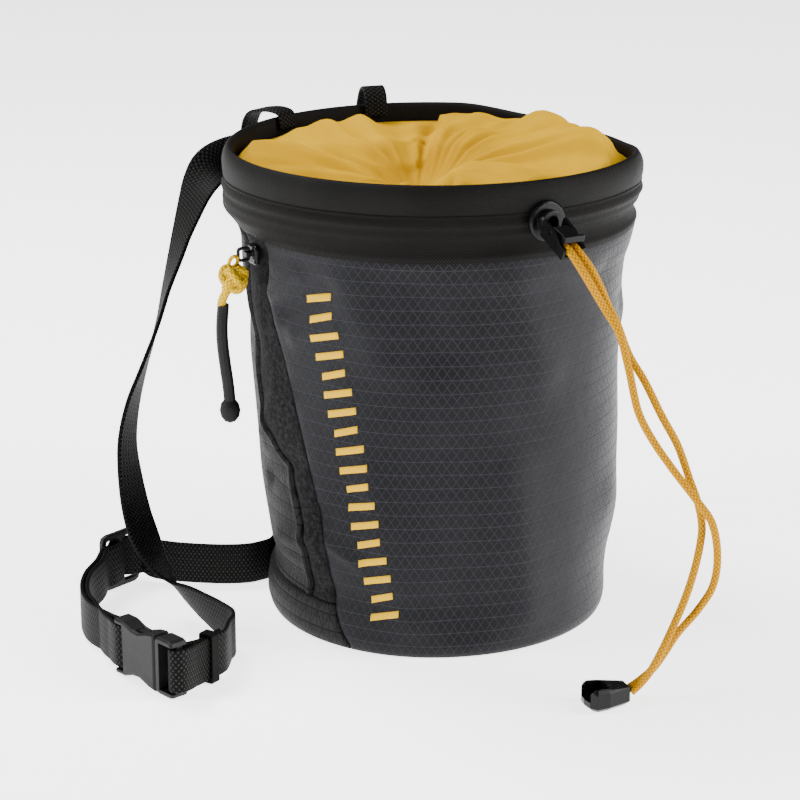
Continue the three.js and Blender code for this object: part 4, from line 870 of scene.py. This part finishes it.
def row_station(row):
    return (share(row[0], row[1], strap_width / 2 + row[2] * bag_height), vec(*row[3]))


def beside_wall(degrees, z):
    """A station against the wall at an angle in degrees."""
    edges = [laid_wall(math.radians(degrees), z + part * strap_width, belt_standoff) for part in (-0.5, 0, 0.5)]
    widest = max(edges, key=lambda p: math.hypot(p[0], p[1]))
    return (vec(widest[0], widest[1], z), UP)


def layers(bar, leave, edge, far, ends, side):
    """One of the two layers that leave a bar."""
    rows = [(along, spread, bar[2] + (far - bar[2]) * min(along / 11.0, 1)) for along, spread in BAR_ROWS]
    rows += [(along, 0.0, far) for along in ends]
    return [beside_bar(bar, leave, side, edge, *row) for row in rows]


def belt_stations():
    """The belt from its free end at the keeper, once round, to its end in the tri-glide."""
    female_leave = share(LEFT_LOOP[0][0], LEFT_LOOP[0][1], female_bar[2]) - female_bar
    female_leave = unit(female_leave)

    def male(side):
        return layers(male_bar, keeper_axis, -UP, keeper_place[2], [16, tail_length], side)

    def female(side):
        return layers(female_bar, female_leave, UP, LEFT_LOOP[0][2], [], side)

    behind = slider_thickness / 2 + gap + strap_thickness / 2
    second = behind + strap_thickness + layer_gap
    outside = slider_length / 2 + 0.6
    slot_edge = slider_length / 2 - slider_bar
    in_slot = slot_edge + 0.5
    return (male(-1)[::-1] + turn_round(male_bar, keeper_axis, -1, -UP) + male(1)
            + [row_station(r) for r in FREE]
            + [beside_wall(a, strap_width / 2 + belt_height) for a in (147, 141, 130, 118, 106, 98)]
            + [row_station(r) for r in BACK]
            + [beside_wall(a, strap_width / 2 + gap) for a in (120, 134, 148, 160, 168)]
            + [row_station(r) for r in LOW]
            + [slider_station(outside, behind + 0.6), slider_station(in_slot, behind),
               slider_station(slider_bar / 2, -behind), slider_station(-slider_bar / 2, -behind),
               slider_station(-in_slot, behind), slider_station(-outside, behind)]
            + left_loop(1)[::-1][:-1] + female(1)[::-1]
            + turn_round(female_bar, female_leave, 1, UP) + female(-1)
            + left_loop(-1)[1:]
            + [slider_station(-outside, second), slider_station(-slot_edge, second),
               slider_station(-1, behind + 0.5)])


stations = [(to_bag(place), to_bag(across)) for place, across in belt_stations()]
belt = ribbon("belt_web", stations, strap_width, strap_thickness, 1.2, webbing_mat)
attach(belt, "bag")
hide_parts("belt_strap")

# The hard pieces, the keeper and the base keep their solids, most with rounded edges
for name, material, edge in (
        ("buckle_female", plastic_mat, 0.35), ("buckle_male", plastic_mat, 0.35), ("belt_slider", plastic_mat, 0.3),
        ("eyelet", glossy_mat, 0.15), ("lock_body", glossy_mat, 0.22), ("lock_lever", glossy_mat, 0.18),
        ("cord_end", glossy_mat, 0.6), ("zip_slider", glossy_mat, 0.2), ("zip_tab", glossy_mat, 0.2),
        ("pull_sleeve", rubber_mat, 0), ("belt_keeper", webbing_mat, 0.2), ("base_panel", grid_mat, 0)):
    node = nodes[name]
    node.data.materials.clear()
    node.data.materials.append(material)
    weld = node.modifiers.new("weld", "WELD")
    weld.merge_threshold = 0.02 * MM
    if edge:
        bevel = node.modifiers.new("bevel", "BEVEL")
        bevel.width = edge * MM
        bevel.segments = 2
        bevel.limit_method = "ANGLE"
        bevel.angle_limit = math.radians(32)

# The generic print: a column of slanted yellow bars down the front's left side
BAR_COUNT, BAR_PITCH, BAR_WIDTH, BAR_HEIGHT, BAR_SLANT = 18, 5.9, 10.5, 2.3, 2.6
BAR_START, BAR_ANGLE, BAR_DRIFT, BAR_RUN = 13.0, -136.5, -20.0, 105.0
BAR_FACE, BAR_BACK = 0.16, -0.3
across, ups = np.meshgrid(np.linspace(-0.5, 0.5, 15), np.linspace(0, 1, 4))
rows, columns = across.shape
side = rows * columns
points, faces = [], []
for k in range(BAR_COUNT):
    low_z = BAR_START + k * BAR_PITCH
    reach = BAR_WIDTH * (0.82 if k % 3 == 1 else 1.0)
    z = low_z + ups * BAR_HEIGHT + across * BAR_SLANT
    degrees = BAR_ANGLE + BAR_DRIFT * (low_z - BAR_START) / BAR_RUN + across * reach / ARC
    for height in (BAR_FACE, BAR_BACK):
        points.append(wall(degrees, z, relief(degrees, z) + height).reshape(-1, 3))
    base = 2 * k * side
    for j in range(rows - 1):
        for i in range(columns - 1):
            quad = [base + j * columns + i, base + j * columns + i + 1,
                    base + (j + 1) * columns + i + 1, base + (j + 1) * columns + i]
            faces.append(quad)
            faces.append([corner + side for corner in reversed(quad)])
    border = ([(0, i) for i in range(columns)] + [(j, columns - 1) for j in range(1, rows)]
              + [(rows - 1, i) for i in range(columns - 2, -1, -1)] + [(j, 0) for j in range(rows - 2, 0, -1)])
    for a, b in zip(border, border[1:] + border[:1]):
        low, high = base + a[0] * columns + a[1], base + b[0] * columns + b[1]
        faces.append([high, low, low + side, high + side])
points = np.concatenate(points)
print_uv = [(points[v][0], points[v][2]) for face in faces for v in face]
bars = finish_mesh("front_print", points, faces, print_uv, ink_mat)
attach(bars, "bag")

# The zip pull's knot: a woven ball of cord over a filler, with its loop through the tab
zip_place = wall(zip_angle, seam_height - zip_drop, zip_standoff)
out_of_wall = unit(zip_place - wall(zip_angle, seam_height - zip_drop))
beside = unit(np.cross(UP, out_of_wall))
knot_middle = zip_place + out_of_wall * knot_standoff - UP * knot_drop


def knot_frame(places):
    """Places beside, out from and above the knot's middle."""
    places = np.asarray(places, float)
    return knot_middle + places[..., :1] * beside + places[..., 1:2] * out_of_wall + places[..., 2:3] * UP


# Three turns with four bends a side: the strand goes over and under where it meets itself
turns = np.linspace(0, 6 * math.pi, 361)[:-1]
latitude = math.radians(52) * np.sin(4 * turns / 3)
radius = 3.35 + 0.5 * np.sin(8 * turns / 3)
level = radius * np.cos(latitude)
weave = knot_frame(np.stack([level * np.cos(turns), level * np.sin(turns), radius * np.sin(latitude) * 1.12], -1))
knot = tube_mesh("knot_weave", weave, 1.3, 12, knot_mat, closed=True)
filler = tube_mesh("knot_filler", knot_frame([(0, 0, h) for h in np.linspace(-3.6, 3.6, 13)]),
                   [0.6, 1.8, 2.5, 2.9, 3.1, 3.2, 3.2, 3.2, 3.1, 2.9, 2.5, 1.8, 0.6], 20, knot_mat)
loop_turn = np.radians(np.linspace(-70, 250, 41))
loop_line = knot_frame(np.stack([0.9 * np.sin(loop_turn), 1.43 * np.cos(loop_turn),
                                 5.2 + 2.1 * np.sin(loop_turn)], -1))
knot_loop = tube_mesh("knot_loop", loop_line, 0.6, 10, knot_mat)
for piece in (knot, filler, knot_loop):
    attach(piece, "bag")
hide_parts("pull_knot")
STEPS = [(-1.4, 0.3, -3.0), (-2.5, 0.5, -4.6), (-3.3, 1.1, -6.2), (-3.9, 1.8, -8.1), (-4.0, 1.9, -9.0)]
lower_cord = to_bag(dense(turned(knot_middle, -lay_turn) + np.array(STEPS), 0.5))
tail = tube_mesh("pull_cord_braid", lower_cord, pull_radius, 14, knot_mat)
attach(tail, "bag")
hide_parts("pull_cord")

# Floor and light. The floor reaches so far, in metres, that no view shows its edge
floor_mat = Nodes("floor_paint")
floor_mat.surface((0.95, 0.95, 0.95), 0.9, specular_ior_level=0.0, emission_strength=2.6)
floor_mat.shader.inputs["Emission Color"].default_value = (1, 1, 1, 1)
floor_mesh = bpy.data.meshes.new("floor")
far = 60
floor_mesh.from_pydata([(-far, -far, 0), (far, -far, 0), (far, far, 0), (-far, far, 0)], [], [(0, 1, 2, 3)])
floor_mesh.materials.append(floor_mat.material)
floor = bpy.data.objects.new("floor", floor_mesh)
bpy.context.scene.collection.objects.link(floor)

world = bpy.data.worlds.new("studio")
bpy.context.scene.world = world
world.use_nodes = True
background = world.node_tree.nodes["Background"]
background.inputs["Color"].default_value = (1, 1, 1, 1)
background.inputs["Strength"].default_value = 0.1


def softbox(name, place, target, width, height, power):
    """An area light, its place and target in the laid frame in millimetres and its size in metres."""
    data = bpy.data.lights.new(name, "AREA")
    data.shape = "RECTANGLE"
    data.size, data.size_y = width, height
    data.energy = power
    light = bpy.data.objects.new(name, data)
    light.visible_camera = False
    bpy.context.scene.collection.objects.link(light)
    start, end = to_bag(place) * MM, to_bag(target) * MM
    light.location = start
    light.rotation_euler = Vector(end - start).to_track_quat("-Z", "Y").to_euler()


softbox("left_box", (-900, -300, 420), (0, 0, 70), 0.4, 0.9, 14)
softbox("right_box", (900, -250, 420), (0, 0, 70), 0.4, 0.9, 19)
softbox("top_box", (-420, 380, 900), (0, 0, 120), 0.35, 0.35, 13)
softbox("front_box", (-250, -1100, 900), (0, 0, 60), 0.5, 0.5, 1.6)
